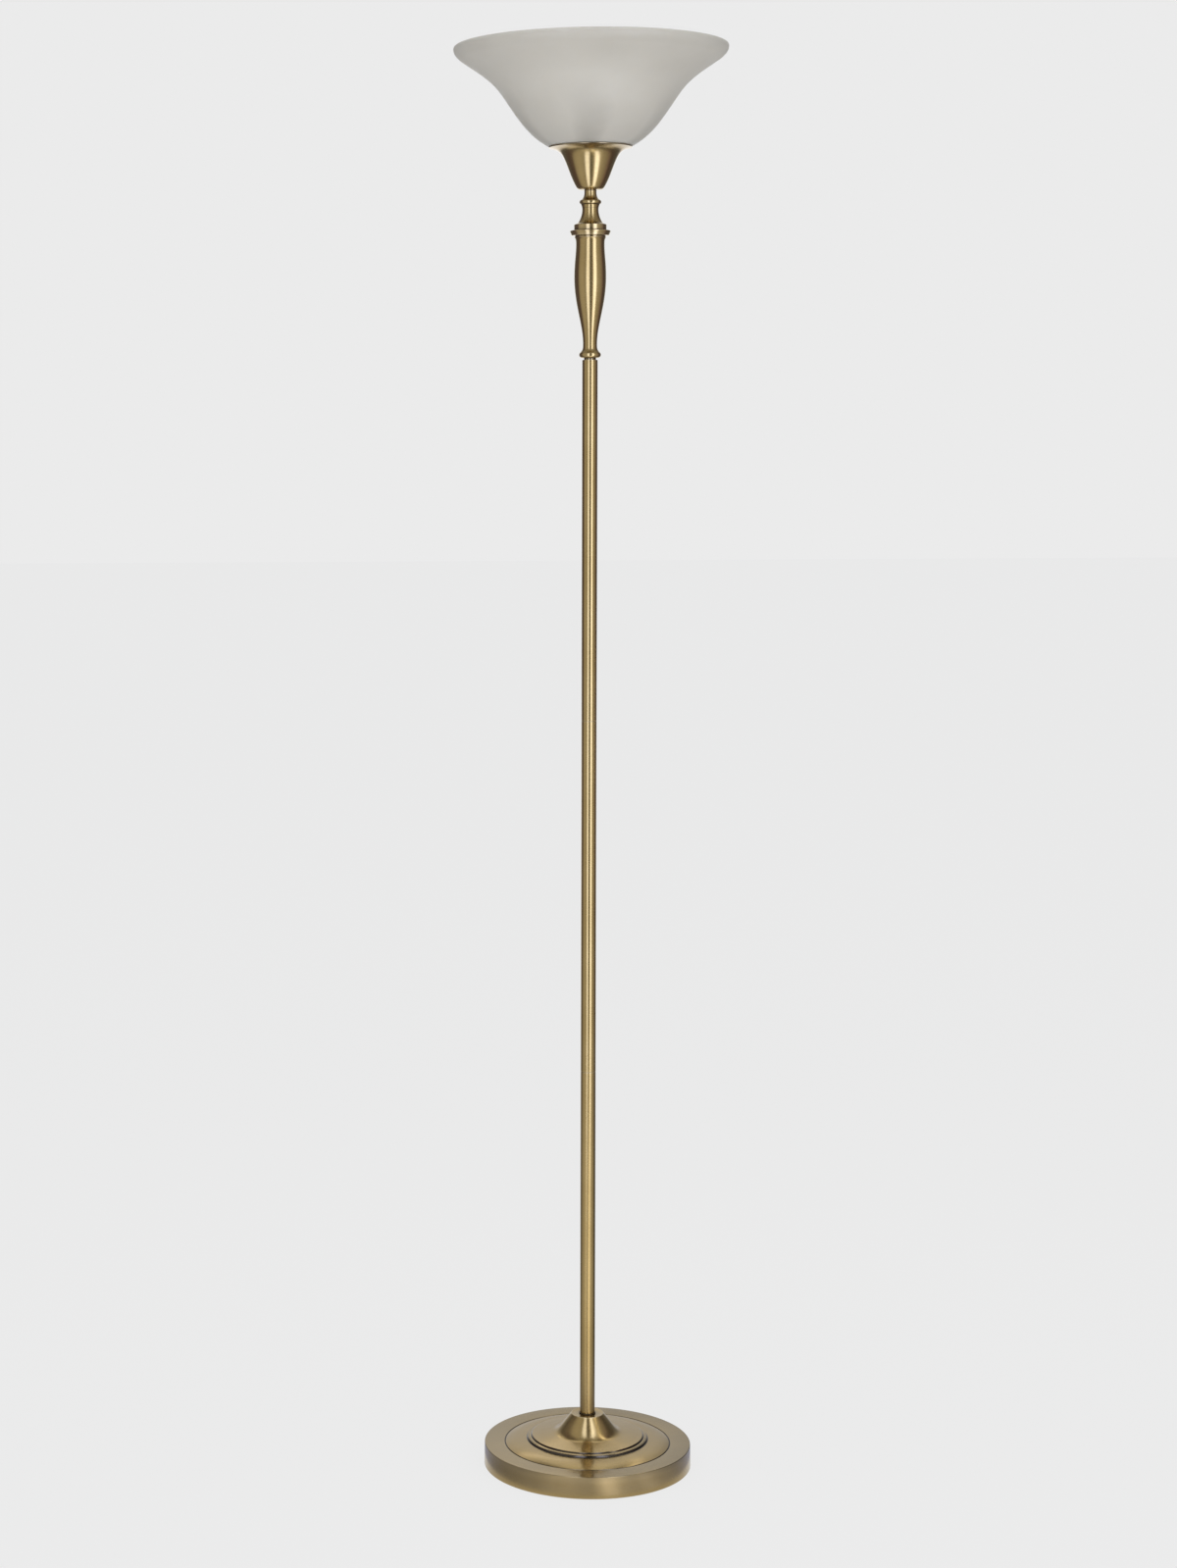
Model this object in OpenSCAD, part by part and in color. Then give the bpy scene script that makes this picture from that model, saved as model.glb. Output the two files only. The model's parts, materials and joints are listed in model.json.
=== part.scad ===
// Free-standing uplighter: a weighted, stepped base, a pole of three tubes screwed end to end,
// a turned spindle, a flared cup and a bowl of satin glass that lifts off over a screw-in lamp.
// Millimetres, +Z up. The origin is on the floor, under the middle of the base.

/* [Base cover] */
// Diameter of the base at the floor
base_d = 264.4; // [250:0.1:320]
// How far the wall leans in at its top, on each side
base_draft = 0.7; // [0:0.1:2]
// Height of the flat outer ring over the floor
ring_h = 28.4; // [28:0.1:36]
// Rounding of the outer top edge
edge_round = 0.8; // [0.4:0.1:2]
// Width of the flat ring, from the wall's foot to the middle of the groove
ring_w = 26.9; // [20:0.1:40]
// Width of the groove
groove_w = 1.6; // [1:0.1:3]
// Depth of the groove
groove_depth = 1.1; // [0.4:0.1:1.6]
// Width of the sloping tier, from the middle of the groove to its inner edge
tier_w = 27.4; // [20:0.1:36]
// Rise of the sloping tier
tier_rise = 4.8; // [3:0.1:8]
// Height of the step inside the tier
step_rise = 2.8; // [1.5:0.1:5]
// How far the tier's upper edge is rounded over towards the step
tier_lip = 0.8; // [0.4:0.1:1.2]
// Width of the bead on top of the step
bead_w = 2.2; // [1.2:0.1:3]
// How far the bead stands over the shelf that carries the hub
bead_h = 0.4; // [0.2:0.1:1]
// Sheet thickness of the pressed cover
cover_t = 1.2; // [0.8:0.1:1.5]
// Gap between the cover's lower edge and the floor
cover_lift = 0.6; // [0.2:0.1:1.5]
// Gap between the cover's hole and the cord inlet's barrel, on the radius
inlet_gap = 0.1; // [0.05:0.05:0.3]

/* [Hub] */
// Gap between the hub's foot and the bead round it
hub_gap = 0.1; // [0.05:0.05:0.4]
// Width of the step from the hub's foot to its disc
hub_step_w = 3.8; // [2:0.1:6]
// Height of the disc's edge over the shelf
hub_step = 2.9; // [2:0.1:5]
// Diameter where the cone grows out of the disc
hub_cone_d = 92; // [70:0.5:110]
// Rise of the disc from its edge to the cone
hub_disc_rise = 3; // [1:0.1:6]
// Height of the cone over the disc
hub_cone_h = 24.9; // [18:0.1:40]
// Diameter of the hub's top
hub_top_d = 41.8; // [34:0.1:50]
// Slope of the cone under the top, in degrees
hub_slope = 49; // [40:1:65]
// Depth of the dish in the hub's top
hub_dish = 0.6; // [0.2:0.1:1.2]
// Wall of the spun hub
hub_t = 1.5; // [1:0.1:2]

/* [Weight and underside] */
// Thickness of the felt
felt_t = 2; // [1:0.1:4]
// How far the felt stays back from the closing plate's edge
felt_margin = 1; // [0.5:0.1:6]
// Thickness of the closing plate
plate_t = 2; // [1.8:0.1:2.5]
// Gap between the closing plate's edge and the cover's wall
plate_gap = 5; // [4.5:0.1:9]
// Gap between the cast weight and the cover's wall
weight_gap = 11; // [8:0.1:20]
// Gap between the cast weight's top and the cover under the groove
weight_headroom = 1.1; // [0.5:0.1:4]
// Depth of the wiring space under the weight
pan_depth = 8.4; // [8:0.1:9.5]
// Width of the weight's rim round the wiring space
pan_rim = 12; // [8:0.5:20]
// Gap between the base washer and the recess round it
recess_gap = 2; // [1:0.1:6]
// Depth of the recess round the nut
recess_depth = 6; // [5:0.1:7]

/* [Screwed parts] */
// Outside diameter of the hollow rods and studs
rod_d = 10; // [9.5:0.1:11]
// Bore of the hollow rods and studs
rod_bore_d = 7.4; // [7:0.1:7.8]
// Gap between a thread and its hole, on the radius
thread_gap = 0.05; // [0.02:0.01:0.1]
// Gap between a rod and a plain hole, on the radius
hole_gap = 0.25; // [0.1:0.05:0.5]
// Width across the flats of the nuts
nut_af = 17; // [16:0.5:18]
// Height of the nuts
nut_h = 5; // [4:0.1:5.5]
// Outside diameter of the base washer
washer_d = 30; // [22:0.5:31]
// Thickness of the base washer
washer_t = 1.6; // [1:0.1:2]
// Outside diameter of the spring washer
spring_washer_d = 18; // [16:0.5:20]
// Thickness of the spring washer
spring_washer_t = 2.2; // [1.5:0.1:2.5]
// Length of rod that shows past the base nut
rod_past_nut = 0.8; // [0.4:0.1:1.5]
// Diameter of the foot washer under the pole
foot_washer_d = 21; // [19.5:0.1:24]
// Thickness of the foot washer under the pole
foot_washer_t = 1.5; // [1:0.1:2.5]

/* [Pole] */
// Outside diameter of the pole
tube_d = 19; // [17:0.1:22]
// Wall of the tubes
tube_t = 1; // [0.8:0.1:1.2]
// Length of each of the three tubes
tube_len = 445.4; // [300:0.1:520]
// Length of the threaded insert in each tube end
insert_len = 20; // [18:0.5:30]
// Gap between an insert and its tube, on the radius
insert_gap = 0.05; // [0.02:0.01:0.1]
// How far each insert stays back from its tube end
insert_recess = 0.1; // [0.05:0.05:0.25]
// Chamfer on the tube ends
tube_chamfer = 0.3; // [0.1:0.05:0.4]
// Length of the studs that join the tubes
stud_len = 34; // [24:1:36]

/* [Spindle body] */
// Diameter of the short neck on the tube
foot_neck_d = 14.8; // [13:0.1:16]
// Height of the short neck
foot_neck_h = 2.2; // [1:0.1:4]
// Diameter of the bead over the neck
foot_bead_d = 26.8; // [24:0.1:30]
// Radius of the bead's round edge
foot_bead_r = 4; // [3:0.1:4.5]
// Diameter of the waist over the bead
waist_d = 17.3; // [16:0.1:20]
// Height of the waist over the bead
waist_rise = 10.1; // [6:0.1:14]
// Diameter of the belly
belly_d = 39.2; // [32:0.1:44]
// Height of the belly over the waist
belly_rise = 81.3; // [60:0.1:100]
// Diameter of the shoulder over the belly
shoulder_d = 35; // [30:0.1:36]
// Height of the shoulder over the belly
shoulder_rise = 39.7; // [30:0.1:50]
// Diameter of the lip on top of the body
lip_d = 38.6; // [37:0.1:42]
// Height of the lip over the shoulder
lip_rise = 8.7; // [6:0.1:12]

/* [Spindle disc and neck] */
// Diameter of the disc at its upper edge
disc_d = 49.8; // [46:0.1:56]
// Diameter of the disc at its lower edge
disc_low_d = 45.8; // [42:0.1:48]
// Height of the disc
disc_h = 7.9; // [6:0.1:10]
// Height of the undercut below the disc
undercut_h = 1.3; // [0.8:0.1:2]
// Diameter of the undercut below the disc
undercut_d = 37.6; // [34:0.1:40]
// Diameter of the collar over the disc
collar_d = 39.9; // [38:0.1:42]
// Height of the collar
collar_h = 7.3; // [5:0.1:9]
// Diameter of the neck's waist over the collar
neck_waist_d = 20.6; // [18:0.1:24]
// Height of the neck's waist over the collar
neck_waist_rise = 18.3; // [14:0.1:24]
// Diameter of the ring bead over the waist
ring_bead_d = 27.2; // [25:0.1:30]
// Radius of the ring bead's round edge
ring_bead_r = 3.1; // [2.5:0.1:3.5]
// Height of the ring bead over the waist
ring_bead_rise = 9.7; // [8:0.1:14]
// Diameter of the neck under the cup
neck_top_d = 14.9; // [13:0.1:16]
// Height of the neck over the ring bead
neck_top_rise = 13.3; // [10:0.1:18]

/* [Cup] */
// Diameter of the cup's flange
cup_d = 102; // [98:0.1:104]
// Height of the cup to the underside of its flange
cup_h = 50.9; // [50:0.1:54]
// Diameter of the cup's flat bottom
cup_floor_d = 23; // [21:0.1:28]
// Diameter at the cup's lower corner
cup_corner_d = 35.2; // [33:0.1:40]
// Height of the cup's lower corner
cup_corner_h = 4; // [2.5:0.1:5]
// Diameter where the cup starts to flare
cup_flare_d = 58.4; // [54:0.1:62]
// Height where the cup starts to flare
cup_flare_h = 30.6; // [28:0.1:34]
// Sheet thickness of the cup
cup_t = 1.2; // [0.8:0.1:1.5]
// Diameter of the washer in the cup
cup_washer_d = 18; // [16:0.5:20]
// Thickness of the washer in the cup
cup_washer_t = 1.5; // [1:0.1:2]

/* [Glass shade] */
// Diameter of the shade at its rim
shade_d = 333.6; // [300:0.1:360]
// Height of the shade over its seat
shade_h = 118.2; // [112:0.1:126]
// Wall of the glass
glass_t = 4; // [3:0.1:5]
// Diameter of the hole in the shade's foot
shade_hole_d = 70; // [68:0.5:76]
// How far the shade's seat reaches past the flange's edge
seat_over = 1; // [0.5:0.1:2]
// Slope of the seat, in degrees
seat_slope = 11.3; // [9:0.1:13]
// Gap between the flange's edge and the glass
flange_gap = 0.7; // [0.4:0.1:1.4]
// Diameter half way up the bowl
bowl_d = 216.8; // [206:0.1:226]
// Height of that place over the seat
bowl_h = 62.1; // [58:0.1:66]
// How far inside the rim the bowl opens out
flare_in = 13.5; // [8:0.1:20]
// How far under the rim the bowl opens out
flare_drop = 17.8; // [12:0.1:24]
// How far the silicone ring starts outside the hole in the shade's foot
gasket_in = 3; // [1:0.1:5]
// Width of the silicone ring under the glass
gasket_w = 8; // [5:0.1:9]
// Clearance between the resting glass and the silicone ring
rest_gap = 0.3; // [0.2:0.05:0.4]

/* [Lampholder] */
// Wall of the lampholder's skirt
skirt_t = 4.8; // [3:0.1:6]
// Height of the skirt
skirt_h = 31; // [26:0.1:36]
// Gap between the insulator and the skirt, on the radius
skirt_gap = 0.4; // [0.2:0.05:0.8]
// Height of the lampholder's cap
cap_h = 24; // [22:0.1:28]
// Diameter of the cap's screwed entry
entry_d = 17; // [15:0.1:20]
// Wall of the lampholder's cap
cap_t = 2; // [1.5:0.1:2.4]
// Depth of the screwed entry
entry_h = 6; // [5:0.1:7]
// Wall of the white insulator round the screw shell
insulator_t = 0.85; // [0.6:0.05:1.2]
// Height of the white insulator
insulator_h = 10; // [8:0.1:12]
// Gap between the lamp's thread and the metal screw shell, on the radius
shell_gap = 0.35; // [0.2:0.05:0.6]
// Thickness of the screw shell
shell_t = 0.45; // [0.3:0.05:0.5]
// Height of the screw shell
shell_h = 23; // [18:0.5:26]
// Distance of the lampholder's terminals from the middle
terminal_x = 6; // [5:0.1:7]

/* [Lamp] */
// Diameter of the lamp's glass
lamp_d = 60; // [50:0.5:62]
// Length of the lamp over all
lamp_len = 108; // [100:0.5:112]
// Crest diameter of the lamp's screw cap
lamp_cap_d = 26.3; // [25.9:0.1:26.4]
// Height of the lamp's screw cap
lamp_cap_h = 19; // [16:0.5:22]
// Pitch of the lamp's thread
lamp_pitch = 3.62; // [3:0.01:4]
// How far the glass stands proud of the cap where it leaves it
lamp_neck_over = 0.85; // [0.5:0.05:1.2]
// Thickness of the lamp's glass
lamp_glass_t = 0.8; // [0.5:0.1:1.2]
// Gap under the lamp's tip contact
lamp_gap = 0.3; // [0.2:0.1:0.6]

/* [Wiring] */
// Diameter of an insulated core
core_d = 2.4; // [2:0.1:2.6]
// Gap between each core and the pole's axis
core_gap = 0.4; // [0.2:0.05:0.6]
// Height of the cores over the closing plate
core_h = 2.2; // [1.8:0.1:2.6]
// Radius of the cores' bend into the rod
core_bend = 6; // [5:0.1:7]
// Bore of the cord inlet
inlet_bore_d = 7.2; // [6:0.1:8]
// Diameter of the inlet's flange
inlet_flange_d = 13; // [12:0.1:14]
// Diameter of the inlet's barrel in the wall
inlet_barrel_d = 10.4; // [9.6:0.1:11]
// Thickness of the inlet's outer flange
inlet_flange_t = 1.6; // [1:0.1:2.5]
// Gap between the cord clamp and the weight's rim
clamp_gap = 8; // [4:0.5:16]
// Width of the cord clamp
clamp_w = 26; // [24:0.5:32]
// Length of the cord clamp along the cord
clamp_len = 8; // [6:0.5:10]
// Distance of the terminal block from the middle
block_y = 64; // [50:0.5:72]
// Spacing of the terminals in the block
block_pitch = 8; // [7:0.1:9]
// Length of the terminal block along the cores
block_len = 16; // [14:0.5:18]
// Gap between the terminal block and the closing plate
block_gap = 0.6; // [0.55:0.05:1.2]
// Place of the earth screw to the left of the middle
earth_x = 34; // [28:0.5:40]
// Place of the earth screw behind the middle
earth_y = 30; // [24:0.5:36]

/* [Hidden] */
$fn = 96;
slop = 0.5;
bead_side = 0.1;

brass = [0.62, 0.52, 0.34];
dark_steel = [0.2, 0.18, 0.16];
zinc = [0.7, 0.71, 0.72];
bright_brass = [0.8, 0.66, 0.36];

// Heights, from the floor up
plate_z = felt_t;
weight_z = plate_z + plate_t;
pan_z = weight_z + pan_depth;
recess_z = pan_z + recess_depth;
weight_top_z = ring_h - groove_depth - cover_t - weight_headroom;
weight_h = weight_top_z - weight_z;
tier_z = ring_h + tier_rise;
bead_z = tier_z + step_rise;
shelf_z = bead_z - bead_h;
disc_edge_z = shelf_z + hub_step;
cone_z = disc_edge_z + hub_disc_rise;
hub_top_z = cone_z + hub_cone_h;
hub_floor_z = hub_top_z - hub_dish;
foot_z = hub_floor_z + foot_washer_t;
joint_z = [for (i = [0 : 3]) foot_z + i * tube_len];
body_z = joint_z[3];
bead_mid = foot_neck_h + foot_bead_r;
waist_h = bead_mid + 0.707 * foot_bead_r + waist_rise;
belly_h = waist_h + belly_rise;
shoulder_h = belly_h + shoulder_rise;
body_h = shoulder_h + lip_rise;
disc_z = body_z + body_h;
neck_z = disc_z + disc_h;
neck_waist_h = collar_h + neck_waist_rise;
ring_bead_h = neck_waist_h + ring_bead_rise;
neck_h = ring_bead_h + neck_top_rise;
cup_z = neck_z + neck_h;
cup_nut_z = cup_z + cup_t + cup_washer_t;
holder_z = cup_nut_z + nut_h + 0.4;
seat_z = cup_z + cup_h + cup_t + flange_gap + seat_over * tan(seat_slope);
shade_top_z = seat_z + shade_h;

// Radii
base_r = base_d / 2;
groove_r = base_r - ring_w;
tier_r = groove_r - tier_w;
bead_outer_r = tier_r - tier_lip - bead_side;
bead_inner_r = bead_outer_r - bead_w;
hub_foot_r = bead_inner_r - bead_h - hub_gap;
hub_r = hub_foot_r - hub_step_w;
plate_r = base_r - cover_t - plate_gap;
felt_r = plate_r - felt_margin;
weight_r = base_r - cover_t - weight_gap;
pan_r = weight_r - pan_rim;
recess_r = washer_d / 2 + recess_gap;
rod_r = rod_d / 2;
rod_hole_r = rod_r + hole_gap;
thread_r = rod_r + thread_gap;
tube_r = tube_d / 2;
tube_ir = tube_r - tube_t;
seat_r = cup_d / 2 + seat_over;
hole_r = shade_hole_d / 2;
rim_r = shade_d / 2;
gasket_r = hole_r + gasket_in;
shell_ir = lamp_cap_d / 2 + shell_gap;
shell_r = shell_ir + shell_t;
insulator_r = shell_r + insulator_t;
skirt_ir = insulator_r + skirt_gap;
skirt_r = skirt_ir + skirt_t;
cap_r = skirt_r - 1;
lamp_neck_r = lamp_cap_d / 2 + lamp_neck_over;

// Base fasteners, from the recess down
washer_z = recess_z - washer_t;
spring_washer_z = washer_z - spring_washer_t;
base_nut_z = spring_washer_z - nut_h;
base_rod_z = base_nut_z - rod_past_nut;
base_rod_top = foot_z + insert_len - 2;

// Lampholder and lamp
entry_z = holder_z + entry_h;
spindle_rod_z = body_z - insert_len + 2;
spindle_rod_top = entry_z - 0.6;
cap_top_z = holder_z + cap_h;
insulator_z = cap_top_z - 7.4;
insulator_top = insulator_z + insulator_h;
terminal_z = insulator_z - 2.4;
contact_h = 2.2;
lamp_z = insulator_top + contact_h + lamp_gap;
lamp_tip_h = 1.6;
lamp_skirt_h = 4;
lamp_shell_z = lamp_z + lamp_tip_h + lamp_skirt_h;
lamp_neck_z = lamp_shell_z + lamp_cap_h;
lamp_r = lamp_d / 2;
lamp_top_z = lamp_z + lamp_len;
lamp_mid_z = lamp_top_z - lamp_r;

// Wiring
core_z = weight_z + core_h;
inlet_z = weight_z + pan_depth / 2;
screw_r = 1.5;
screw_bite = 5;
core_x = core_d / 2 + core_gap;
clamp_y = pan_r - clamp_gap - clamp_len / 2;
block_w = 3 * block_pitch + 1;
block_h = pan_depth - block_gap;
barrel_z = pan_z - block_h + 3.6;
plate_screw_r = (pan_r + weight_r) / 2;

// Points on an arc about c, from angle a to angle b
function arc(c, r, a, b, n = 6) =
    [for (i = [0 : n]) c + r * [cos(a + (b - a) * i / n), sin(a + (b - a) * i / n)]];

// Points on a cubic curve that leaves p at angle a and reaches q at angle b
function curve(p, a, q, b, k = 0.36, m = 0.36, n = 10) =
    let (d = norm(q - p), s = p + k * d * [cos(a), sin(a)], t = q - m * d * [cos(b), sin(b)])
    [for (i = [0 : n]) let (u = i / n, v = 1 - u)
        v * v * v * p + 3 * v * v * u * s + 3 * v * u * u * t + u * u * u * q];

function unit(v) = v / norm(v);
function left_of(v) = [-v[1], v[0]];
function flip(p) = [for (i = [len(p) - 1 : -1 : 0]) p[i]];
function lift(p, z) = [for (q = p) [q[0], q[1] + z]];
// A path without the points that repeat the one before them
function clean(p) = [for (i = [0 : len(p) - 1]) if (i == 0 || norm(p[i] - p[max(i - 1, 0)]) > 0.001) p[i]];
// A path moved to its left by t, mitred at its corners
function inset(p, t) = [for (i = [0 : len(p) - 1])
    let (a = i > 0 ? unit(p[i] - p[i - 1]) : unit(p[1] - p[0]),
        b = i < len(p) - 1 ? unit(p[i + 1] - p[i]) : a,
        m = unit(left_of(a) + left_of(b)))
    p[i] + t * m / max(m * left_of(a), 0.4)];

module turned(p) {
    rotate_extrude() polygon(clean(p));
}

module ring(z, h, outer, inner) {
    translate([0, 0, z]) difference() {
        cylinder(h = h, r = outer);
        translate([0, 0, -slop]) cylinder(h = h + 2 * slop, r = inner);
    }
}

module hex_nut(z) {
    translate([0, 0, z]) difference() {
        cylinder(h = nut_h, r = nut_af / sqrt(3), $fn = 6);
        translate([0, 0, -slop]) cylinder(h = nut_h + 2 * slop, r = thread_r);
    }
}

module hollow_rod(z, top) {
    chamfer = 0.5;
    turned([[rod_bore_d / 2, z], [rod_r - chamfer, z], [rod_r, z + chamfer],
        [rod_r, top - chamfer], [rod_r - chamfer, top], [rod_bore_d / 2, top]]);
}

// A round wire along the points of a route; ref is never along the route
module wire(route, r, ref, sides = 8) {
    n = len(route);
    rings = [for (i = [0 : n - 1])
        let (t = unit(route[min(i + 1, n - 1)] - route[max(i - 1, 0)]),
            u = unit(cross(ref, t)), v = cross(t, u))
        for (k = [0 : sides - 1]) route[i] + r * (cos(360 * k / sides) * u + sin(360 * k / sides) * v)];
    walls = [for (i = [0 : n - 2]) for (k = [0 : sides - 1])
        let (a = i * sides + k, b = i * sides + (k + 1) % sides)
        [a, a + sides, b + sides, b]];
    ends = [[for (k = [0 : sides - 1]) k], [for (k = [sides - 1 : -1 : 0]) (n - 1) * sides + k]];
    polyhedron(rings, concat(walls, ends));
}

// The plate is held to the weight's rim by four countersunk screws
module at_plate_screws() {
    for (a = [45 : 90 : 315]) rotate(a) translate([plate_screw_r, 0, 0]) children();
}

module countersunk_screw(gap, length) {
    head_r = 3.6;
    head_h = 1.6;
    cylinder(h = head_h, r1 = head_r + gap, r2 = screw_r + gap);
    translate([0, 0, head_h - 0.1]) cylinder(h = length - head_h + 0.1, r = screw_r + gap);
}

module at_clamp_screws() {
    for (s = [-1, 1]) translate([s * (clamp_w / 2 - 3), clamp_y, 0]) children();
}

module at_block_screws() {
    for (s = [-1, 1]) translate([s * block_pitch / 2, block_y, 0]) children();
}

module base_felt() {
    color([0.12, 0.12, 0.11]) cylinder(h = felt_t, r = felt_r);
}

module base_plate() {
    color(zinc) difference() {
        translate([0, 0, plate_z]) cylinder(h = plate_t, r = plate_r);
        at_plate_screws() translate([0, 0, plate_z - 0.01]) countersunk_screw(0.1, plate_t + slop);
    }
}

module plate_screws() {
    color(zinc) at_plate_screws()
        translate([0, 0, plate_z]) countersunk_screw(0, plate_t + screw_bite);
}

module base_weight() {
    color([0.16, 0.16, 0.17]) difference() {
        translate([0, 0, weight_z]) cylinder(h = weight_h, r = weight_r);
        translate([0, 0, weight_z - slop]) cylinder(h = pan_depth + slop, r = pan_r);
        translate([0, 0, pan_z - slop]) cylinder(h = recess_depth + slop, r = recess_r);
        translate([0, 0, weight_z]) cylinder(h = weight_h + slop, r = rod_hole_r);
        translate([-inlet_flange_d / 2, 0, weight_z - slop])
            cube([inlet_flange_d, weight_r + slop, pan_depth + slop]);
        at_plate_screws() translate([0, 0, weight_z - slop])
            cylinder(h = screw_bite + 2 * slop, r = screw_r + thread_gap);
        at_clamp_screws() translate([0, 0, pan_z - slop])
            cylinder(h = screw_bite + 2 * slop, r = screw_r + thread_gap);
        at_block_screws() translate([0, 0, pan_z - slop])
            cylinder(h = screw_bite + 2 * slop, r = screw_r + thread_gap);
        translate([-earth_x, earth_y, pan_z - slop])
            cylinder(h = screw_bite + 2 * slop, r = screw_r + thread_gap);
    }
}

// Outside of the cover, from the floor up the wall and in over the tiers to the shelf
tier_start = 158;
tier_finish = 176;
tier_round = 0.3;
base_top_r = base_r - base_draft;
cover_line = concat(
    [[base_r, cover_lift]],
    arc([base_top_r - edge_round, ring_h - edge_round], edge_round, 0, 90, 4),
    [[groove_r + groove_w / 2, ring_h], [groove_r, ring_h - groove_depth]],
    curve([groove_r - groove_w / 2, ring_h], tier_start, [tier_r, tier_z], tier_finish),
    [[tier_r - tier_lip, tier_z + tier_round]],
    arc([bead_outer_r - bead_h, bead_z - bead_h], bead_h, 0, 90, 3),
    [[bead_inner_r, bead_z], [bead_inner_r - bead_h, shelf_z], [rod_hole_r, shelf_z]]);

module base_cover() {
    cut = 8;
    color(brass) difference() {
        turned(concat(cover_line, flip(inset(cover_line, cover_t))));
        translate([0, base_r - cut, inlet_z]) rotate([-90, 0, 0])
            cylinder(h = 2 * cut, r = inlet_barrel_d / 2 + inlet_gap);
    }
}

// Outside of the hub, from its foot over the disc and up the cone to the dished top
hub_foot_h = 0.5;
hub_edge = 0.6;
disc_start = 172;
disc_finish = 92;
cone_start = 173;
cone_finish = 180 - hub_slope;
top_round = 0.8;
hub_line = concat(
    [[hub_foot_r, shelf_z], [hub_foot_r, shelf_z + hub_foot_h]],
    curve([hub_foot_r - hub_edge, shelf_z + hub_edge], disc_start,
        [hub_r, disc_edge_z - hub_edge - 0.1], disc_finish, 0.5, 0.3, 5),
    arc([hub_r - hub_edge, disc_edge_z - hub_edge], hub_edge, 5, 85, 3),
    curve([hub_cone_d / 2, cone_z], cone_start, [hub_top_d / 2, hub_top_z - top_round], cone_finish,
        0.28, 0.55, 14),
    [[hub_top_d / 2 - 0.2, hub_top_z - 0.2], [hub_top_d / 2 - top_round, hub_top_z],
        [hub_top_d / 2 - 2 * top_round, hub_top_z - 0.1], [foot_washer_d / 2 + 1, hub_floor_z],
        [rod_hole_r, hub_floor_z]]);
hub_foot_w = 5;
hub_under_z = hub_floor_z - hub_t - 0.6;
hub_inside = concat(
    [[hub_foot_r - hub_foot_w, shelf_z], [hub_r - hub_t, disc_edge_z - hub_t]],
    curve([hub_cone_d / 2 - 0.2, cone_z - hub_t], cone_start,
        [hub_top_d / 2 - hub_t, hub_top_z - hub_t - 2], cone_finish, 0.28, 0.55, 14),
    [[hub_top_d / 2 - 3 * hub_t, hub_under_z], [rod_hole_r, hub_under_z]]);

module base_hub() {
    color(brass) turned(concat(hub_line, flip(hub_inside)));
}

module base_spacer() {
    color(zinc) ring(weight_top_z, shelf_z - cover_t - weight_top_z, rod_hole_r + 4, rod_hole_r);
}

module base_rod() {
    color(zinc) hollow_rod(base_rod_z, base_rod_top);
}

module base_washer() {
    color(zinc) ring(washer_z, washer_t, washer_d / 2, rod_hole_r);
}

module base_spring_washer() {
    color(zinc) difference() {
        ring(spring_washer_z, spring_washer_t, spring_washer_d / 2, rod_hole_r);
        translate([0, -0.6, spring_washer_z - slop])
            cube([spring_washer_d, 1.2, spring_washer_t + 2 * slop]);
    }
}

module base_nut() {
    color(zinc) hex_nut(base_nut_z);
}

module cord_inlet() {
    wall_y = base_r;
    inner_y = wall_y - base_draft - cover_t - 0.3;
    color([0.1, 0.09, 0.08]) translate([0, 0, inlet_z]) rotate([-90, 0, 0]) difference() {
        union() {
            translate([0, 0, wall_y]) cylinder(h = inlet_flange_t, r = inlet_flange_d / 2);
            translate([0, 0, inner_y - 2]) cylinder(h = wall_y - inner_y + 2.5, r = inlet_barrel_d / 2);
            translate([0, 0, inner_y - 2]) cylinder(h = 2, r = inlet_flange_d / 2 - 0.4);
        }
        translate([0, 0, inner_y - 3]) cylinder(h = 12, r = inlet_bore_d / 2);
    }
}

module cord_clamp() {
    foot = 6;
    bar_t = 2.2;
    gap_z = pan_z - pan_depth + 0.6 + bar_t;
    color([0.15, 0.15, 0.15]) difference() {
        translate([-clamp_w / 2, clamp_y - clamp_len / 2, gap_z - bar_t])
            cube([clamp_w, clamp_len, pan_z - gap_z + bar_t]);
        translate([-clamp_w / 2 + foot, clamp_y - clamp_len / 2 - slop, gap_z])
            cube([clamp_w - 2 * foot, clamp_len + 2 * slop, pan_z - gap_z + slop]);
        at_clamp_screws() translate([0, 0, gap_z - bar_t - 0.01]) countersunk_screw(0.1, pan_depth + 2);
    }
}

module clamp_screws() {
    start = pan_z - pan_depth + 0.6;
    color(zinc) at_clamp_screws() translate([0, 0, start]) countersunk_screw(0, pan_z - start + screw_bite);
}

module terminal_block() {
    color([0.93, 0.92, 0.88]) difference() {
        translate([-block_w / 2, block_y - block_len / 2, pan_z - block_h])
            cube([block_w, block_len, block_h]);
        for (i = [-1 : 1]) {
            translate([i * block_pitch, block_y - block_len / 2 - slop, barrel_z]) rotate([-90, 0, 0])
                cylinder(h = block_len + 2 * slop, r = 2.6);
            for (s = [-1, 1]) translate([i * block_pitch, block_y + s * 4.5, pan_z - block_h - slop])
                cylinder(h = 3.6, r = 1.9);
        }
        at_block_screws() translate([0, 0, pan_z - block_h - slop])
            cylinder(h = block_h + 2 * slop, r = screw_r - 0.2);
    }
}

module block_screws() {
    color(zinc) at_block_screws() {
        translate([0, 0, pan_z - block_h]) cylinder(h = block_h + screw_bite, r = screw_r - 0.3);
        translate([0, 0, pan_z - block_h - 0.5]) cylinder(h = 0.5, r = 1.9);
    }
}

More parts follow.
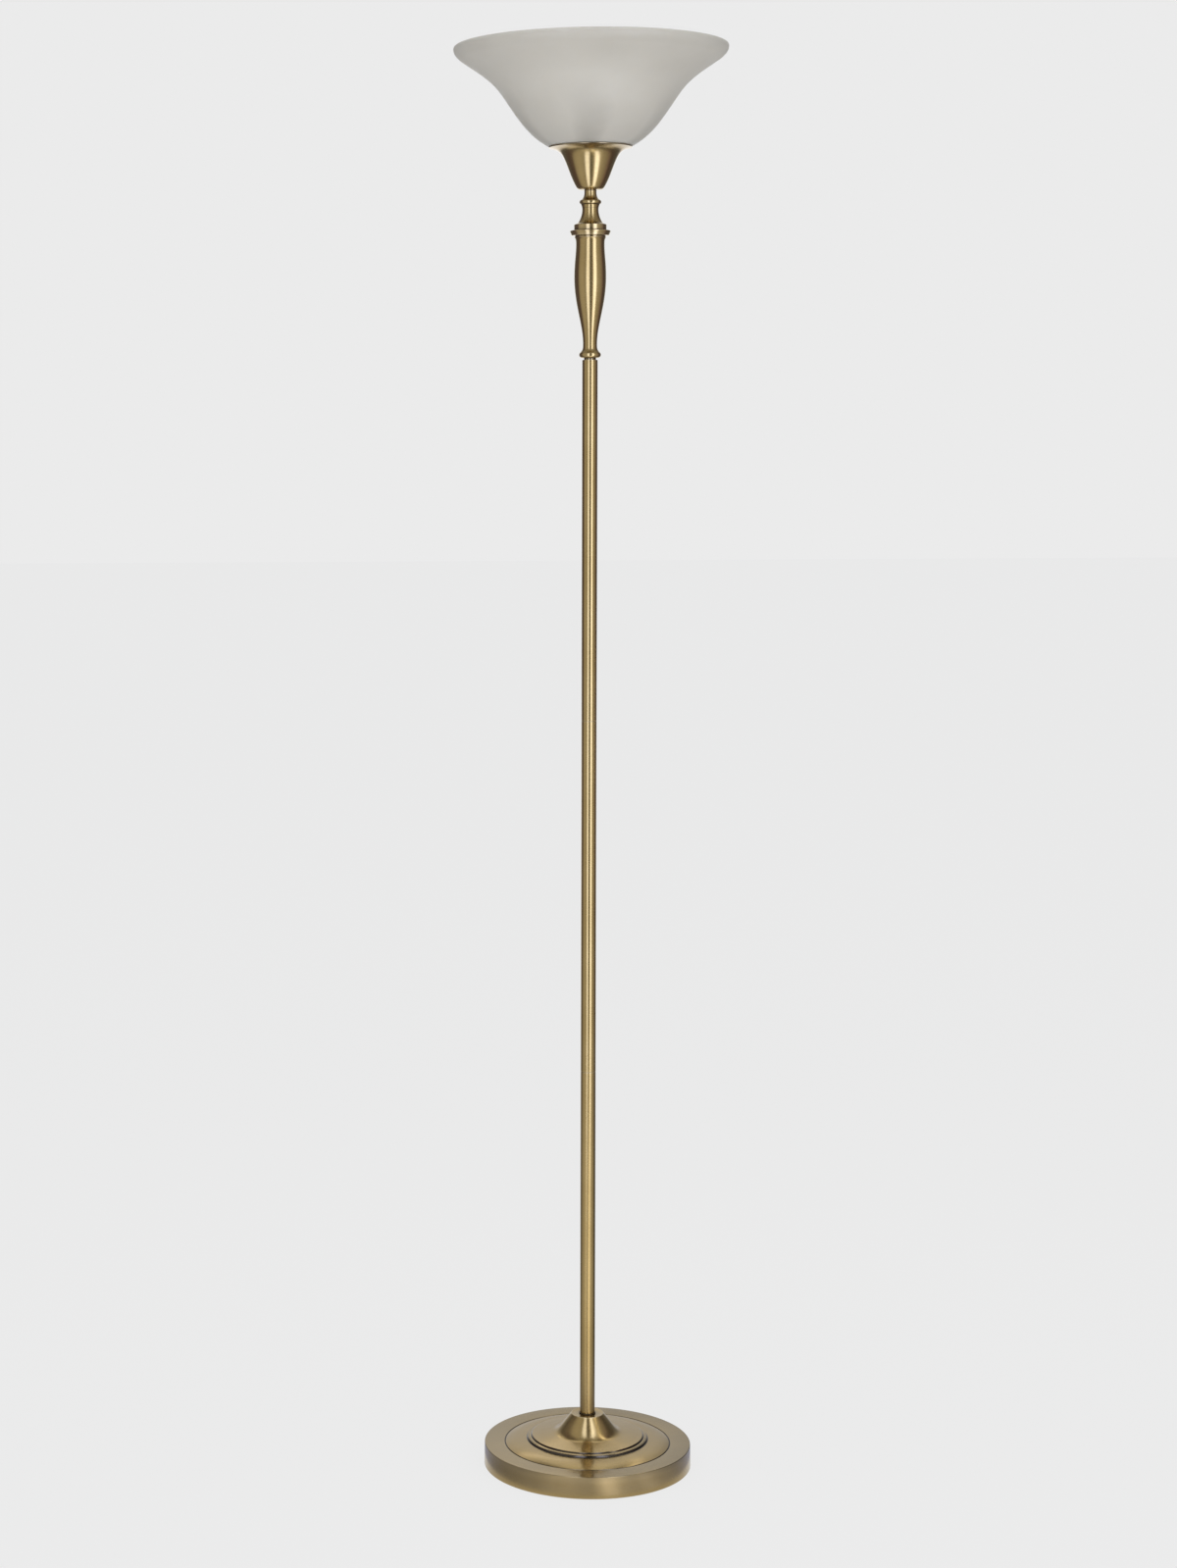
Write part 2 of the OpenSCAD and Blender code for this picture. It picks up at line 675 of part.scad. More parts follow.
module terminal_barrels() {
    color(bright_brass) for (i = [-1 : 1])
        translate([i * block_pitch, block_y - block_len / 2 + 1.5, barrel_z]) rotate([-90, 0, 0])
            difference() {
                cylinder(h = block_len - 3, r = 2.5);
                translate([0, 0, -slop]) cylinder(h = block_len - 3 + 2 * slop, r = 1.4);
            }
}

module terminal_screws() {
    top = barrel_z - 2.55;
    color(zinc) for (i = [-1 : 1]) for (s = [-1, 1])
        translate([i * block_pitch, block_y + s * 4.5, pan_z - block_h + 0.2])
            cylinder(h = top - (pan_z - block_h + 0.2), r = 1.7);
}

tag_len = 12;
tag_w = 3.2;
tag_t = 0.8;
tag_angle = 50;
module earth_tag() {
    color(bright_brass) translate([-earth_x, earth_y, pan_z - tag_t]) difference() {
        union() {
            cylinder(h = tag_t, r = tag_len / 3);
            rotate(tag_angle) translate([0, -tag_w / 2, 0]) cube([tag_len, tag_w, tag_t]);
        }
        translate([0, 0, -slop]) cylinder(h = tag_t + 2 * slop, r = screw_r + 0.1);
    }
}

module earth_screw() {
    color(bright_brass) translate([-earth_x, earth_y, 0]) {
        translate([0, 0, pan_z - 2.6]) cylinder(h = 1.8, r = 3);
        translate([0, 0, pan_z - 0.9]) cylinder(h = screw_bite + 0.9, r = screw_r);
    }
}

// The earth core runs from the block's left terminal to the tag
tag_end = [-earth_x + tag_len * cos(tag_angle), earth_y + tag_len * sin(tag_angle)];
module earth_core() {
    r = core_d / 2;
    start = [-block_pitch, block_y - block_len / 2 + 1.2];
    finish = tag_end - 5 * [cos(tag_angle), sin(tag_angle)];
    line = curve(start, -90, finish, tag_angle + 180, 0.5, 0.5, 14);
    color([0.35, 0.6, 0.2]) wire([for (i = [0 : 14]) [line[i][0], line[i][1],
        barrel_z + (pan_z - 0.85 - r - barrel_z) * i / 14]], r, [0, 0, 1]);
}

// A core runs from the block, turns up into the base rod and climbs to its lampholder terminal
function core_route(x, side) =
    let (start = [x, block_y - block_len / 2 + 1.2],
        flat = curve(start, -90, [side * core_x, 20], -90, 0.5, 0.5, 8),
        bend = arc([core_bend, core_z + core_bend], core_bend, 270, 180, 6),
        rise = curve([core_x, spindle_rod_top - 1], 90, [terminal_x, terminal_z - 1], 90, 0.5, 0.5, 8),
        tip = [side * terminal_x, 0, terminal_z - 0.05])
    concat(
        [for (i = [0 : 8]) [flat[i][0], flat[i][1], barrel_z + (core_z - barrel_z) * i / 8]],
        [for (p = bend) [side * core_x, p[0], p[1]]],
        [for (p = rise) [side * p[0], 0, p[1]]],
        [tip]);

module live_core() {
    color([0.4, 0.22, 0.1]) wire(core_route(block_pitch, 1), core_d / 2, [1, 0, 0]);
}

module neutral_core() {
    color([0.15, 0.3, 0.65]) wire(core_route(0, -1), core_d / 2, [1, 0, 0]);
}

module foot_washer() {
    color(dark_steel) ring(hub_floor_z, foot_washer_t, foot_washer_d / 2, rod_hole_r);
}

module tube(z) {
    c = tube_chamfer;
    color(brass) turned([[tube_ir, z], [tube_r - c, z], [tube_r, z + c],
        [tube_r, z + tube_len - c], [tube_r - c, z + tube_len], [tube_ir, z + tube_len]]);
}

module lower_tube() {
    tube(joint_z[0]);
}

module middle_tube() {
    tube(joint_z[1]);
}

module upper_tube() {
    tube(joint_z[2]);
}

module tube_inserts() {
    color(zinc) for (z = joint_z) {
        if (z < body_z) ring(z + insert_recess, insert_len, tube_ir - insert_gap, thread_r);
        if (z > foot_z) ring(z - insert_recess - insert_len, insert_len, tube_ir - insert_gap, thread_r);
    }
}

module joining_studs() {
    color(zinc) for (i = [1, 2]) hollow_rod(joint_z[i] - stud_len / 2, joint_z[i] + stud_len / 2);
}

module spindle_body() {
    bead_r = foot_bead_d / 2 - foot_bead_r;
    line = concat(
        [[foot_neck_d / 2, 0], [foot_neck_d / 2, foot_neck_h]],
        arc([bead_r, bead_mid], foot_bead_r, -90, 45, 9),
        curve([bead_r + 0.707 * foot_bead_r, bead_mid + 0.707 * foot_bead_r], 135,
            [waist_d / 2, waist_h], 90, 0.45, 0.5, 6),
        curve([waist_d / 2, waist_h], 90, [belly_d / 2, belly_h], 90, 0.3, 0.42, 16),
        curve([belly_d / 2, belly_h], 90, [shoulder_d / 2, shoulder_h], 90, 0.45, 0.3, 8),
        curve([shoulder_d / 2, shoulder_h], 90, [lip_d / 2, body_h - 0.8], 50, 0.5, 0.3, 5),
        [[lip_d / 2 - 0.1, body_h - 0.2], [lip_d / 2 - 0.4, body_h]]);
    color(brass) turned(concat([[rod_hole_r, body_z]], lift(line, body_z), [[rod_hole_r, disc_z]]));
}

module spindle_disc() {
    edge = 0.5;
    color(brass) turned(lift([[rod_hole_r, 0], [undercut_d / 2, 0], [undercut_d / 2, undercut_h],
        [disc_low_d / 2, undercut_h + 0.3], [disc_d / 2, disc_h - 2 * edge - 0.5],
        [disc_d / 2, disc_h - edge - 0.3], [disc_d / 2 - edge, disc_h - 0.3],
        [collar_d / 2, disc_h], [rod_hole_r, disc_h]], disc_z));
}

module spindle_neck() {
    bead_r = ring_bead_d / 2 - ring_bead_r;
    line = concat(
        [[rod_hole_r, 0], [collar_d / 2 - 0.3, 0], [collar_d / 2, 0.3],
            [collar_d / 2, collar_h - 0.6], [collar_d / 2 - 0.6, collar_h]],
        curve([collar_d / 2 - 2.1, collar_h + 0.4], 165, [neck_waist_d / 2, neck_waist_h], 90, 0.2, 0.4, 9),
        curve([neck_waist_d / 2, neck_waist_h], 90,
            [bead_r + 0.5 * ring_bead_r, ring_bead_h - 0.866 * ring_bead_r], 72, 0.36, 0.36, 5),
        arc([bead_r, ring_bead_h], ring_bead_r, -50, 80, 9),
        curve([bead_r, ring_bead_h + ring_bead_r], 170, [neck_top_d / 2, neck_h - 4], 90, 0.36, 0.5, 6),
        [[neck_top_d / 2, neck_h], [rod_hole_r, neck_h]]);
    color(brass) turned(lift(line, neck_z));
}

module spindle_rod() {
    color(zinc) hollow_rod(spindle_rod_z, spindle_rod_top);
}

// Outside of the cup, from its floor to the underside of the flange
cup_line = lift(concat(
    [[rod_hole_r, 0]],
    curve([cup_floor_d / 2, 0], 0, [cup_corner_d / 2, cup_corner_h], 60, 0.4, 0.4, 6),
    curve([cup_corner_d / 2, cup_corner_h], 60, [cup_flare_d / 2, cup_flare_h], 68, 0.36, 0.36, 6),
    curve([cup_flare_d / 2, cup_flare_h], 68, [cup_d / 2, cup_h - 0.2], 8, 0.5, 0.45, 14)), cup_z);
cup_inside = inset(clean(cup_line), cup_t);

module shade_cup() {
    color(brass) turned(concat(cup_line, flip(cup_inside)));
}

module cup_washer() {
    color(zinc) ring(cup_z + cup_t, cup_washer_t, cup_washer_d / 2, rod_hole_r);
}

module cup_nut() {
    color(zinc) hex_nut(cup_nut_z);
}

// Height of the glass's sloping seat, and of the cup's inside under it
function seat_at(r) = seat_z - (seat_r - r) * tan(seat_slope);
cup_heights = [for (p = cup_inside) if (p[0] > cup_flare_d / 2) p];

gasket_gap = 0.1;
module shade_gasket() {
    span = [for (i = [0 : 6]) gasket_r + gasket_w * i / 6];
    color([0.85, 0.85, 0.82]) turned(concat(
        [for (r = span) [r, lookup(r, cup_heights) + gasket_gap]],
        [for (r = flip(span)) [r, seat_at(r) - rest_gap]]));
}

// Outside of the bowl, from the seat to the rim
seat_angle = 28;
bowl_angle = 54.6;
flare_angle = 33.8;
rim_t = glass_t / 2;
flare_at = [rim_r - flare_in, shade_top_z - flare_drop];
bowl_at = [bowl_d / 2, seat_z + bowl_h];
bowl_line = concat(
    curve([seat_r, seat_z], seat_angle, bowl_at, bowl_angle, n = 12),
    curve(bowl_at, bowl_angle, flare_at, flare_angle, n = 12),
    curve(flare_at, flare_angle, [rim_r, shade_top_z - rim_t], 90, n = 10));

module glass_shade() {
    inside = inset(clean(bowl_line), glass_t);
    color([0.86, 0.85, 0.82]) turned(concat(
        [[hole_r, seat_at(hole_r)]],
        bowl_line,
        arc([rim_r - rim_t, shade_top_z - rim_t], rim_t, 15, 165, 8),
        flip(inside),
        [[hole_r, seat_at(hole_r) + glass_t]]));
}

// The lampholder's cap is a dome with a screwed entry
module holder_cap() {
    entry_r = entry_d / 2;
    inner_r = cap_r - cap_t;
    z = holder_z;
    dome = curve([entry_r + 0.5, z + 4], 30, [cap_r, z + 15], 88, 0.4, 0.4, 8);
    dome_inside = curve([entry_r - 0.5, entry_z + 0.6], 30, [inner_r - 1.2, insulator_z - 1.2], 70,
        0.4, 0.4, 6);
    color([0.9, 0.89, 0.85]) turned(concat(
        [[thread_r, z], [entry_r, z], [entry_r, z + 3]],
        dome,
        [[cap_r, cap_top_z], [inner_r, cap_top_z], [inner_r, insulator_z], [inner_r - 1, insulator_z - 1]],
        flip(dome_inside),
        [[thread_r, entry_z]]));
}

module holder_insulator() {
    well = 3;
    foot_h = 4;
    color([0.95, 0.95, 0.93]) difference() {
        union() {
            translate([0, 0, insulator_z]) cylinder(h = insulator_h, r = insulator_r);
            translate([0, 0, insulator_z]) cylinder(h = foot_h, r = cap_r - cap_t - 0.05);
        }
        translate([0, 0, insulator_top - well]) difference() {
            cylinder(h = well + slop, r = insulator_r + slop);
            translate([0, 0, -slop]) cylinder(h = well + 3 * slop, r = shell_ir - 0.1);
        }
        for (s = [-1, 1]) translate([s * terminal_x, 0, insulator_z - slop]) cylinder(h = 4, r = 2);
    }
}

module holder_terminals() {
    color(bright_brass) for (s = [-1, 1]) translate([s * terminal_x, 0, terminal_z])
        cylinder(h = insulator_z + 3.4 - terminal_z, r = 1.95);
}

module centre_contact() {
    color(bright_brass) translate([-3.5, -3, insulator_top]) difference() {
        cube([7, 6, contact_h]);
        translate([-slop, -slop, 0.5]) cube([5.5 + slop, 7, contact_h - 1]);
    }
}

module screw_shell() {
    z = insulator_top - 3;
    color(bright_brass) ring(z, shell_h, shell_r, shell_ir);
}

module holder_skirt() {
    r = skirt_r;
    b = skirt_ir;
    z = cap_top_z;
    color([0.92, 0.91, 0.88]) turned([[b, z], [r - 0.4, z], [r, z + 0.4], [r, z + skirt_h - 1],
        [r - 1, z + skirt_h], [b + 1.2, z + skirt_h], [b, z + skirt_h - 1.6]]);
}

// The lamp's cap carries rounded thread crests
module lamp_cap() {
    depth = 0.45;
    r = lamp_cap_d / 2;
    z = lamp_shell_z;
    crests = floor((lamp_cap_h - 4) / lamp_pitch);
    line = [for (i = [0 : 8 * crests]) [r - depth + depth * sin(45 * i), z + 1 + lamp_pitch * i / 8]];
    color([0.8, 0.8, 0.8]) turned(concat([[r - 2.2, z], [r - 1, z]], line,
        [[lamp_neck_r - 0.6, lamp_neck_z - 1], [lamp_neck_r - 0.6, lamp_neck_z],
            [r - 2.2, lamp_neck_z - 1.6]]));
}

module lamp_insulator() {
    z = lamp_z + lamp_tip_h;
    color([0.08, 0.08, 0.09]) turned([[0, z], [5, z], [lamp_cap_d / 2 - 1.4, z + lamp_skirt_h],
        [0, z + lamp_skirt_h]]);
}

module lamp_contact() {
    color([0.75, 0.73, 0.68]) turned(concat([[0, lamp_z]],
        curve([1.5, lamp_z], 0, [4.4, lamp_z + lamp_tip_h], 80, 0.4, 0.3, 5),
        [[0, lamp_z + lamp_tip_h]]));
}

// Outside of the lamp's glass, from the cap to the top of the globe
globe_line = concat(
    curve([lamp_neck_r, lamp_neck_z], 90, [lamp_r * cos(-32), lamp_mid_z + lamp_r * sin(-32)], 58,
        0.42, 0.3, 10),
    arc([0, lamp_mid_z], lamp_r, -32, 88, 16));

module lamp_globe() {
    color([0.95, 0.94, 0.9]) turned(concat(globe_line, [[0, lamp_top_z], [0, lamp_top_z - lamp_glass_t]],
        flip(inset(clean(globe_line), lamp_glass_t))));
}

module lamp_stem() {
    z = lamp_shell_z;
    color([0.8, 0.85, 0.85]) turned(concat([[0, z], [9, z], [8, z + 6]],
        curve([6, z + 9], 110, [2.2, z + 36], 90, 0.4, 0.4, 6), [[2.2, z + 42], [0, z + 43]]));
}

// Two leads rise from the stem and carry the filament in a zigzag between them
module lamp_filament() {
    z = lamp_shell_z + 36;
    top = lamp_mid_z + 4;
    w = 11;
    route = concat([[-2.6, 0, z], [-4, 0, z + 3], [-w, 0, top - 1]],
        [for (i = [0 : 8]) [-w + 2 * w * i / 8, 0, top + (i % 2 == 0 ? 0 : 3)]],
        [[w, 0, top - 1], [4, 0, z + 3], [2.6, 0, z]]);
    color([0.5, 0.5, 0.5]) wire(route, 0.35, [0, 1, 0], 6);
}

base_felt();
base_plate();
plate_screws();
base_weight();
base_cover();
base_hub();
base_spacer();
base_rod();
base_washer();
base_spring_washer();
base_nut();
cord_inlet();
cord_clamp();
clamp_screws();
terminal_block();
block_screws();
terminal_barrels();
terminal_screws();
earth_tag();
earth_screw();
earth_core();
live_core();
neutral_core();
foot_washer();
lower_tube();
middle_tube();
upper_tube();
tube_inserts();
joining_studs();
spindle_body();
spindle_disc();
spindle_neck();
spindle_rod();
shade_cup();
cup_washer();
cup_nut();
shade_gasket();
glass_shade();
holder_cap();
holder_insulator();
holder_terminals();
centre_contact();
screw_shell();
holder_skirt();
lamp_cap();
lamp_insulator();
lamp_contact();
lamp_globe();
lamp_stem();
lamp_filament();
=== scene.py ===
import json
import math

import bpy
import numpy as np
from mathutils import Matrix, Vector


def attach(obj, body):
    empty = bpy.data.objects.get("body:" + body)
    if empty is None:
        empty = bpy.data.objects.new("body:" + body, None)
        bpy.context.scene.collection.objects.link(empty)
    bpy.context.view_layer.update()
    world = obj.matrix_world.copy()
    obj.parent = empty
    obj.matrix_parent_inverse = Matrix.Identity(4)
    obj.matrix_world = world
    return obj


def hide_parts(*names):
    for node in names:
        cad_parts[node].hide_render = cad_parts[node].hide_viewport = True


# Uplighter: stepped brass base, pole of three tubes, turned spindle, flared cup and satin glass bowl.
# Lengths are written in millimetres and turned to metres where a mesh is made. Places in a finish and in
# the studio are in metres.
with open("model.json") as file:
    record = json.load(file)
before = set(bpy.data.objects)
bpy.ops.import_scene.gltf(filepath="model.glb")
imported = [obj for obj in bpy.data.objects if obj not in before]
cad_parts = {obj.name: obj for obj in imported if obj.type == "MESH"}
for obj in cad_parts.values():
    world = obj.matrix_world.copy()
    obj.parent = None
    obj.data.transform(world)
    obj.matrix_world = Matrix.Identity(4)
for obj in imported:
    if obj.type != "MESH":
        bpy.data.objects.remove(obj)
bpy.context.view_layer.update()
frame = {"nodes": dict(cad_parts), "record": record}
MM = 0.001
SAME_POINT = 1e-4
ON_AXIS = 1e-6
CREASE = math.radians(35)


# Camera

def place_camera():
    """Looks along +Y from in front, tipped down, with the lamp to the right of the lens axis."""
    focal, picture_side, axis_offset, film = 2898, 1599, 192, 36
    pitch, roll = math.radians(6.69), math.radians(-0.299)
    lens_place = (-0.236, -3.530, 1.294)
    forward = Vector((0, math.cos(pitch), -math.sin(pitch)))
    level = Vector((0, math.sin(pitch), math.cos(pitch)))
    side = Vector((1, 0, 0))
    right = math.cos(roll) * side + math.sin(roll) * level
    up = -math.sin(roll) * side + math.cos(roll) * level
    lens = bpy.data.cameras.new("camera")
    lens.sensor_width = film
    lens.lens = focal / picture_side * film
    lens.shift_x = axis_offset / picture_side
    lens.clip_start, lens.clip_end = 0.05, 60
    camera = bpy.data.objects.new("camera", lens)
    turn = Matrix((right, up, -forward)).transposed()
    camera.matrix_world = Matrix.Translation(lens_place) @ turn.to_4x4()
    bpy.context.scene.collection.objects.link(camera)
    bpy.context.scene.camera = camera


place_camera()


# Profiles: arrays of (radius, height) in millimetres, walked with the solid on the left

def path(*parts):
    """Joins points and runs of points into one array, leaving out points that repeat."""
    points = np.concatenate([np.atleast_2d(np.asarray(part, float)) for part in parts])
    step = np.linalg.norm(np.diff(points, axis=0), axis=1)
    return points[np.concatenate([[True], step > SAME_POINT])]


def arc(centre, radius, start, stop, count=12):
    """Points centre + radius (cos a, sin a) for angles a from start to stop, in degrees."""
    a = np.radians(np.linspace(start, stop, count + 1))
    return np.asarray(centre, float) + radius * np.stack([np.cos(a), np.sin(a)], 1)


def curve(p, a, q, b, k=0.36, m=0.36, count=36):
    """Cubic (1-u)^3 p + 3(1-u)^2 u s + 3(1-u) u^2 t + u^3 q, which leaves p at angle a and reaches q at
    angle b. Its handles s and t lie k and m chords from the ends."""
    p, q = np.asarray(p, float), np.asarray(q, float)
    chord = np.linalg.norm(q - p)
    a, b = np.radians(a), np.radians(b)
    s = p + k * chord * np.array([np.cos(a), np.sin(a)])
    t = q - m * chord * np.array([np.cos(b), np.sin(b)])
    u = np.linspace(0, 1, count + 1)[:, None]
    v = 1 - u
    return v ** 3 * p + 3 * v * v * u * s + 3 * v * u * u * t + u ** 3 * q


def inset(points, depth):
    """Moves a path to its left by depth, each point along the mean of its two edge normals."""
    least_spread = 0.4
    edge = np.diff(points, axis=0)
    edge /= np.linalg.norm(edge, axis=1)[:, None]
    normal = np.stack([-edge[:, 1], edge[:, 0]], 1)
    before = np.concatenate([normal[:1], normal])
    after = np.concatenate([normal, normal[-1:]])
    mean = before + after
    mean /= np.linalg.norm(mean, axis=1)[:, None]
    spread = np.maximum((mean * after).sum(1), least_spread)
    return points + depth * mean / spread[:, None]


def softened(points, radius, limit=14, closed=True):
    """Rounds each corner that turns by more than limit degrees: it is cut back along both edges by up to
    radius and bridged with a quadratic, (1-t)^2 a + 2t(1-t) p + t^2 b."""
    longest_share = 0.42
    before = points - np.roll(points, 1, 0)
    after = np.roll(points, -1, 0) - points
    len_before = np.linalg.norm(before, axis=1)
    len_after = np.linalg.norm(after, axis=1)
    before /= len_before[:, None]
    after /= len_after[:, None]
    bend = np.degrees(np.arccos(np.clip((before * after).sum(1), -1, 1)))
    cut = np.minimum(radius, longest_share * np.minimum(len_before, len_after)) * (bend > limit)
    if not closed:
        cut[[0, -1]] = 0
    a = points - before * cut[:, None]
    b = points + after * cut[:, None]
    t = np.linspace(0, 1, 6)[None, :, None]
    rounded = (1 - t) ** 2 * a[:, None] + 2 * t * (1 - t) * points[:, None] + t * t * b[:, None]
    flat = rounded.reshape(-1, 2)
    keep = np.linalg.norm(flat - np.roll(flat, 1, 0), axis=1) > SAME_POINT
    keep[0] = True
    return flat[keep]


def signed_bend(points, closed):
    """Turn at each point in radians, positive where the surface is hollow and negative on its edges."""
    before = points - np.roll(points, 1, 0)
    after = np.roll(points, -1, 0) - points
    cross = before[:, 0] * after[:, 1] - before[:, 1] * after[:, 0]
    bend = -np.arctan2(cross, (before * after).sum(1))
    if not closed:
        bend[[0, -1]] = 0
    return bend


def gathered(points, weight, reach):
    """Sum over all points k of weight_k exp(-distance^2 / (2 reach^2)), for each point."""
    gap = points[:, None] - points[None]
    return (np.exp(-(gap ** 2).sum(2) / (2 * reach * reach)) * weight[None]).sum(1)


def marks(profile, loop, stains):
    """Stain in the hollows of a profile and at the places in stains, which are radius, height, reach and
    strength, and on the edges that no stain covers wear with a painted highlight. Both are 0 to 1 at each
    point."""
    bend = signed_bend(profile, loop)
    stain = 0.75 * gathered(profile, np.maximum(bend, 0) ** 1.5, 0.9)
    for radius, height, reach, strength in stains:
        gap = ((profile - [radius, height]) ** 2).sum(1)
        stain += strength * np.exp(-gap / (2 * reach * reach))
    stain = np.clip(stain, 0, 1)
    wear_and_highlight = gathered(profile, np.maximum(-bend, 0), 0.35) * (1 - stain)
    return {"stain": stain, "wear_and_highlight": np.clip(wear_and_highlight, 0, 1)}


# Meshes

def add_piece(name, mesh, body, slot):
    """Puts a finished mesh in the scene, on its body, in place of the CAD node of that name."""
    piece = bpy.data.objects.new(name + "_surface", mesh)
    bpy.context.scene.collection.objects.link(piece)
    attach(piece, body)
    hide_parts(name)
    mesh.materials.append(FINISHES[slot])
    return piece


def new_mesh(name, points, faces, map_uv=None, values=None):
    """Mesh from points in millimetres, faces, a UV pair for each face corner and a value for each point."""
    mesh = bpy.data.meshes.new(name)
    mesh.from_pydata(points * MM, [], faces)
    mesh.update()
    if map_uv is not None:
        layer = mesh.uv_layers.new(name="lathe")
        layer.data.foreach_set("uv", map_uv.ravel())
    for key, value in (values or {}).items():
        attribute = mesh.attributes.new(key, "FLOAT", "POINT")
        attribute.data.foreach_set("value", value.astype(np.float32))
    mesh.polygons.foreach_set("use_smooth", np.ones(len(mesh.polygons), bool))
    mesh.set_sharp_from_angle(angle=CREASE)
    return mesh


def turned_mesh(name, profile, around=192, stains=(), axis="z", centre=(0, 0, 0), bulge=None):
    """Surface of revolution: point (i, j) is (r_i cos a_j, r_i sin a_j, z_i) with a_j = 2 pi j / around.
    A profile end on the axis is closed to one point; without one the profile is a loop. UV is the length
    along the profile in metres and j / around. bulge(r, z, angle) gives new radii for the whole grid."""
    profile = path(profile)
    loop = profile[:, 0].min() > ON_AXIS
    if loop and np.linalg.norm(profile[0] - profile[-1]) < SAME_POINT:
        profile = profile[:-1]
    radius, height = profile.T
    angle = np.linspace(0, 2 * np.pi, around, endpoint=False)
    r = np.repeat(radius[:, None], around, 1)
    z = np.repeat(height[:, None], around, 1)
    if bulge:
        r = bulge(r, z, angle[None])
    grid = np.stack([r * np.cos(angle), r * np.sin(angle), z], 2)
    pole = radius < ON_AXIS
    keep = ~pole[:, None] | (np.arange(around) == 0)[None]
    first = np.concatenate([[0], np.cumsum(keep.sum(1))[:-1]])
    index = first[:, None] + np.where(pole[:, None], 0, np.arange(around))
    low, high = (index, np.roll(index, -1, 0)) if loop else (index[:-1], index[1:])
    quads = np.stack([low, np.roll(low, -1, 1), np.roll(high, -1, 1), high], 2).reshape(-1, 4)
    step = np.linalg.norm(np.roll(profile, -1, 0) - profile, axis=1)
    length = np.concatenate([[0], np.cumsum(step)]) * MM
    start, end = length[:len(low)], length[1:len(low) + 1]
    v0 = np.arange(around) / around
    v1 = v0 + 1 / around
    u = np.broadcast_to(np.stack([start, start, end, end], 1)[:, None], (len(low), around, 4))
    v = np.broadcast_to(np.stack([v0, v1, v1, v0], 1)[None], u.shape)
    corner_uv = np.stack([u, v], 3).reshape(-1, 4, 2)
    flat_low, flat_high = quads[:, 0] == quads[:, 1], quads[:, 2] == quads[:, 3]
    whole = ~(flat_low | flat_high)
    faces, corners = [], []
    for rows, order in ((whole, [0, 1, 2, 3]), (flat_low, [0, 2, 3]), (flat_high, [0, 1, 2])):
        faces += quads[rows][:, order].tolist()
        corners.append(corner_uv[rows][:, order].reshape(-1, 2))
    values = {key: np.repeat(value[:, None], around, 1)[keep]
              for key, value in marks(profile, loop, stains).items()}
    points = grid[keep]
    if axis == "y":
        points = points[:, [0, 2, 1]] * [-1, 1, 1]
    return new_mesh(name, points + np.asarray(centre, float), faces, np.concatenate(corners), values)


def turned(name, profile, slot, body="stand", **settings):
    """A turned piece that stands for the CAD node of its own name."""
    return add_piece(name, turned_mesh(name, profile, **settings), body, slot)


def cut_with(piece, cutter_mesh):
    """Takes a cutter's volume out of a piece and leaves the result as its mesh."""
    cutter = bpy.data.objects.new("cutter", cutter_mesh)
    bpy.context.scene.collection.objects.link(cutter)
    modifier = piece.modifiers.new("cut", "BOOLEAN")
    modifier.object, modifier.operation, modifier.solver = cutter, "DIFFERENCE", "EXACT"
    bpy.context.view_layer.update()
    cut_piece = piece.evaluated_get(bpy.context.evaluated_depsgraph_get())
    cut_mesh = bpy.data.meshes.new_from_object(cut_piece)
    piece.modifiers.remove(modifier)
    piece.data = cut_mesh
    bpy.data.objects.remove(cutter)


def swept_mesh(name, route, radius, sides):
    """Round wire: each ring is centred on a route point, in the plane across the route there."""
    off_axis = [0.03, 1, 0.02]
    route = np.asarray(route, float)
    along = np.gradient(route, axis=0)
    along /= np.linalg.norm(along, axis=1)[:, None]
    across = np.cross(along, off_axis)
    across /= np.linalg.norm(across, axis=1)[:, None]
    up = np.cross(along, across)
    a = 2 * np.pi * np.arange(sides) / sides
    rings = route[:, None] + radius * (np.cos(a)[None, :, None] * across[:, None]
                                       + np.sin(a)[None, :, None] * up[:, None])
    index = np.arange(len(route) * sides).reshape(-1, sides)
    low, high = index[:-1], index[1:]
    quads = np.stack([low, np.roll(low, -1, 1), np.roll(high, -1, 1), high], 2).reshape(-1, 4).tolist()
    ends = [index[0][::-1].tolist(), index[-1].tolist()]
    return new_mesh(name, rings.reshape(-1, 3), quads + ends)


# Finishes: each is a node tree with its colour, roughness and relief worked out on the piece

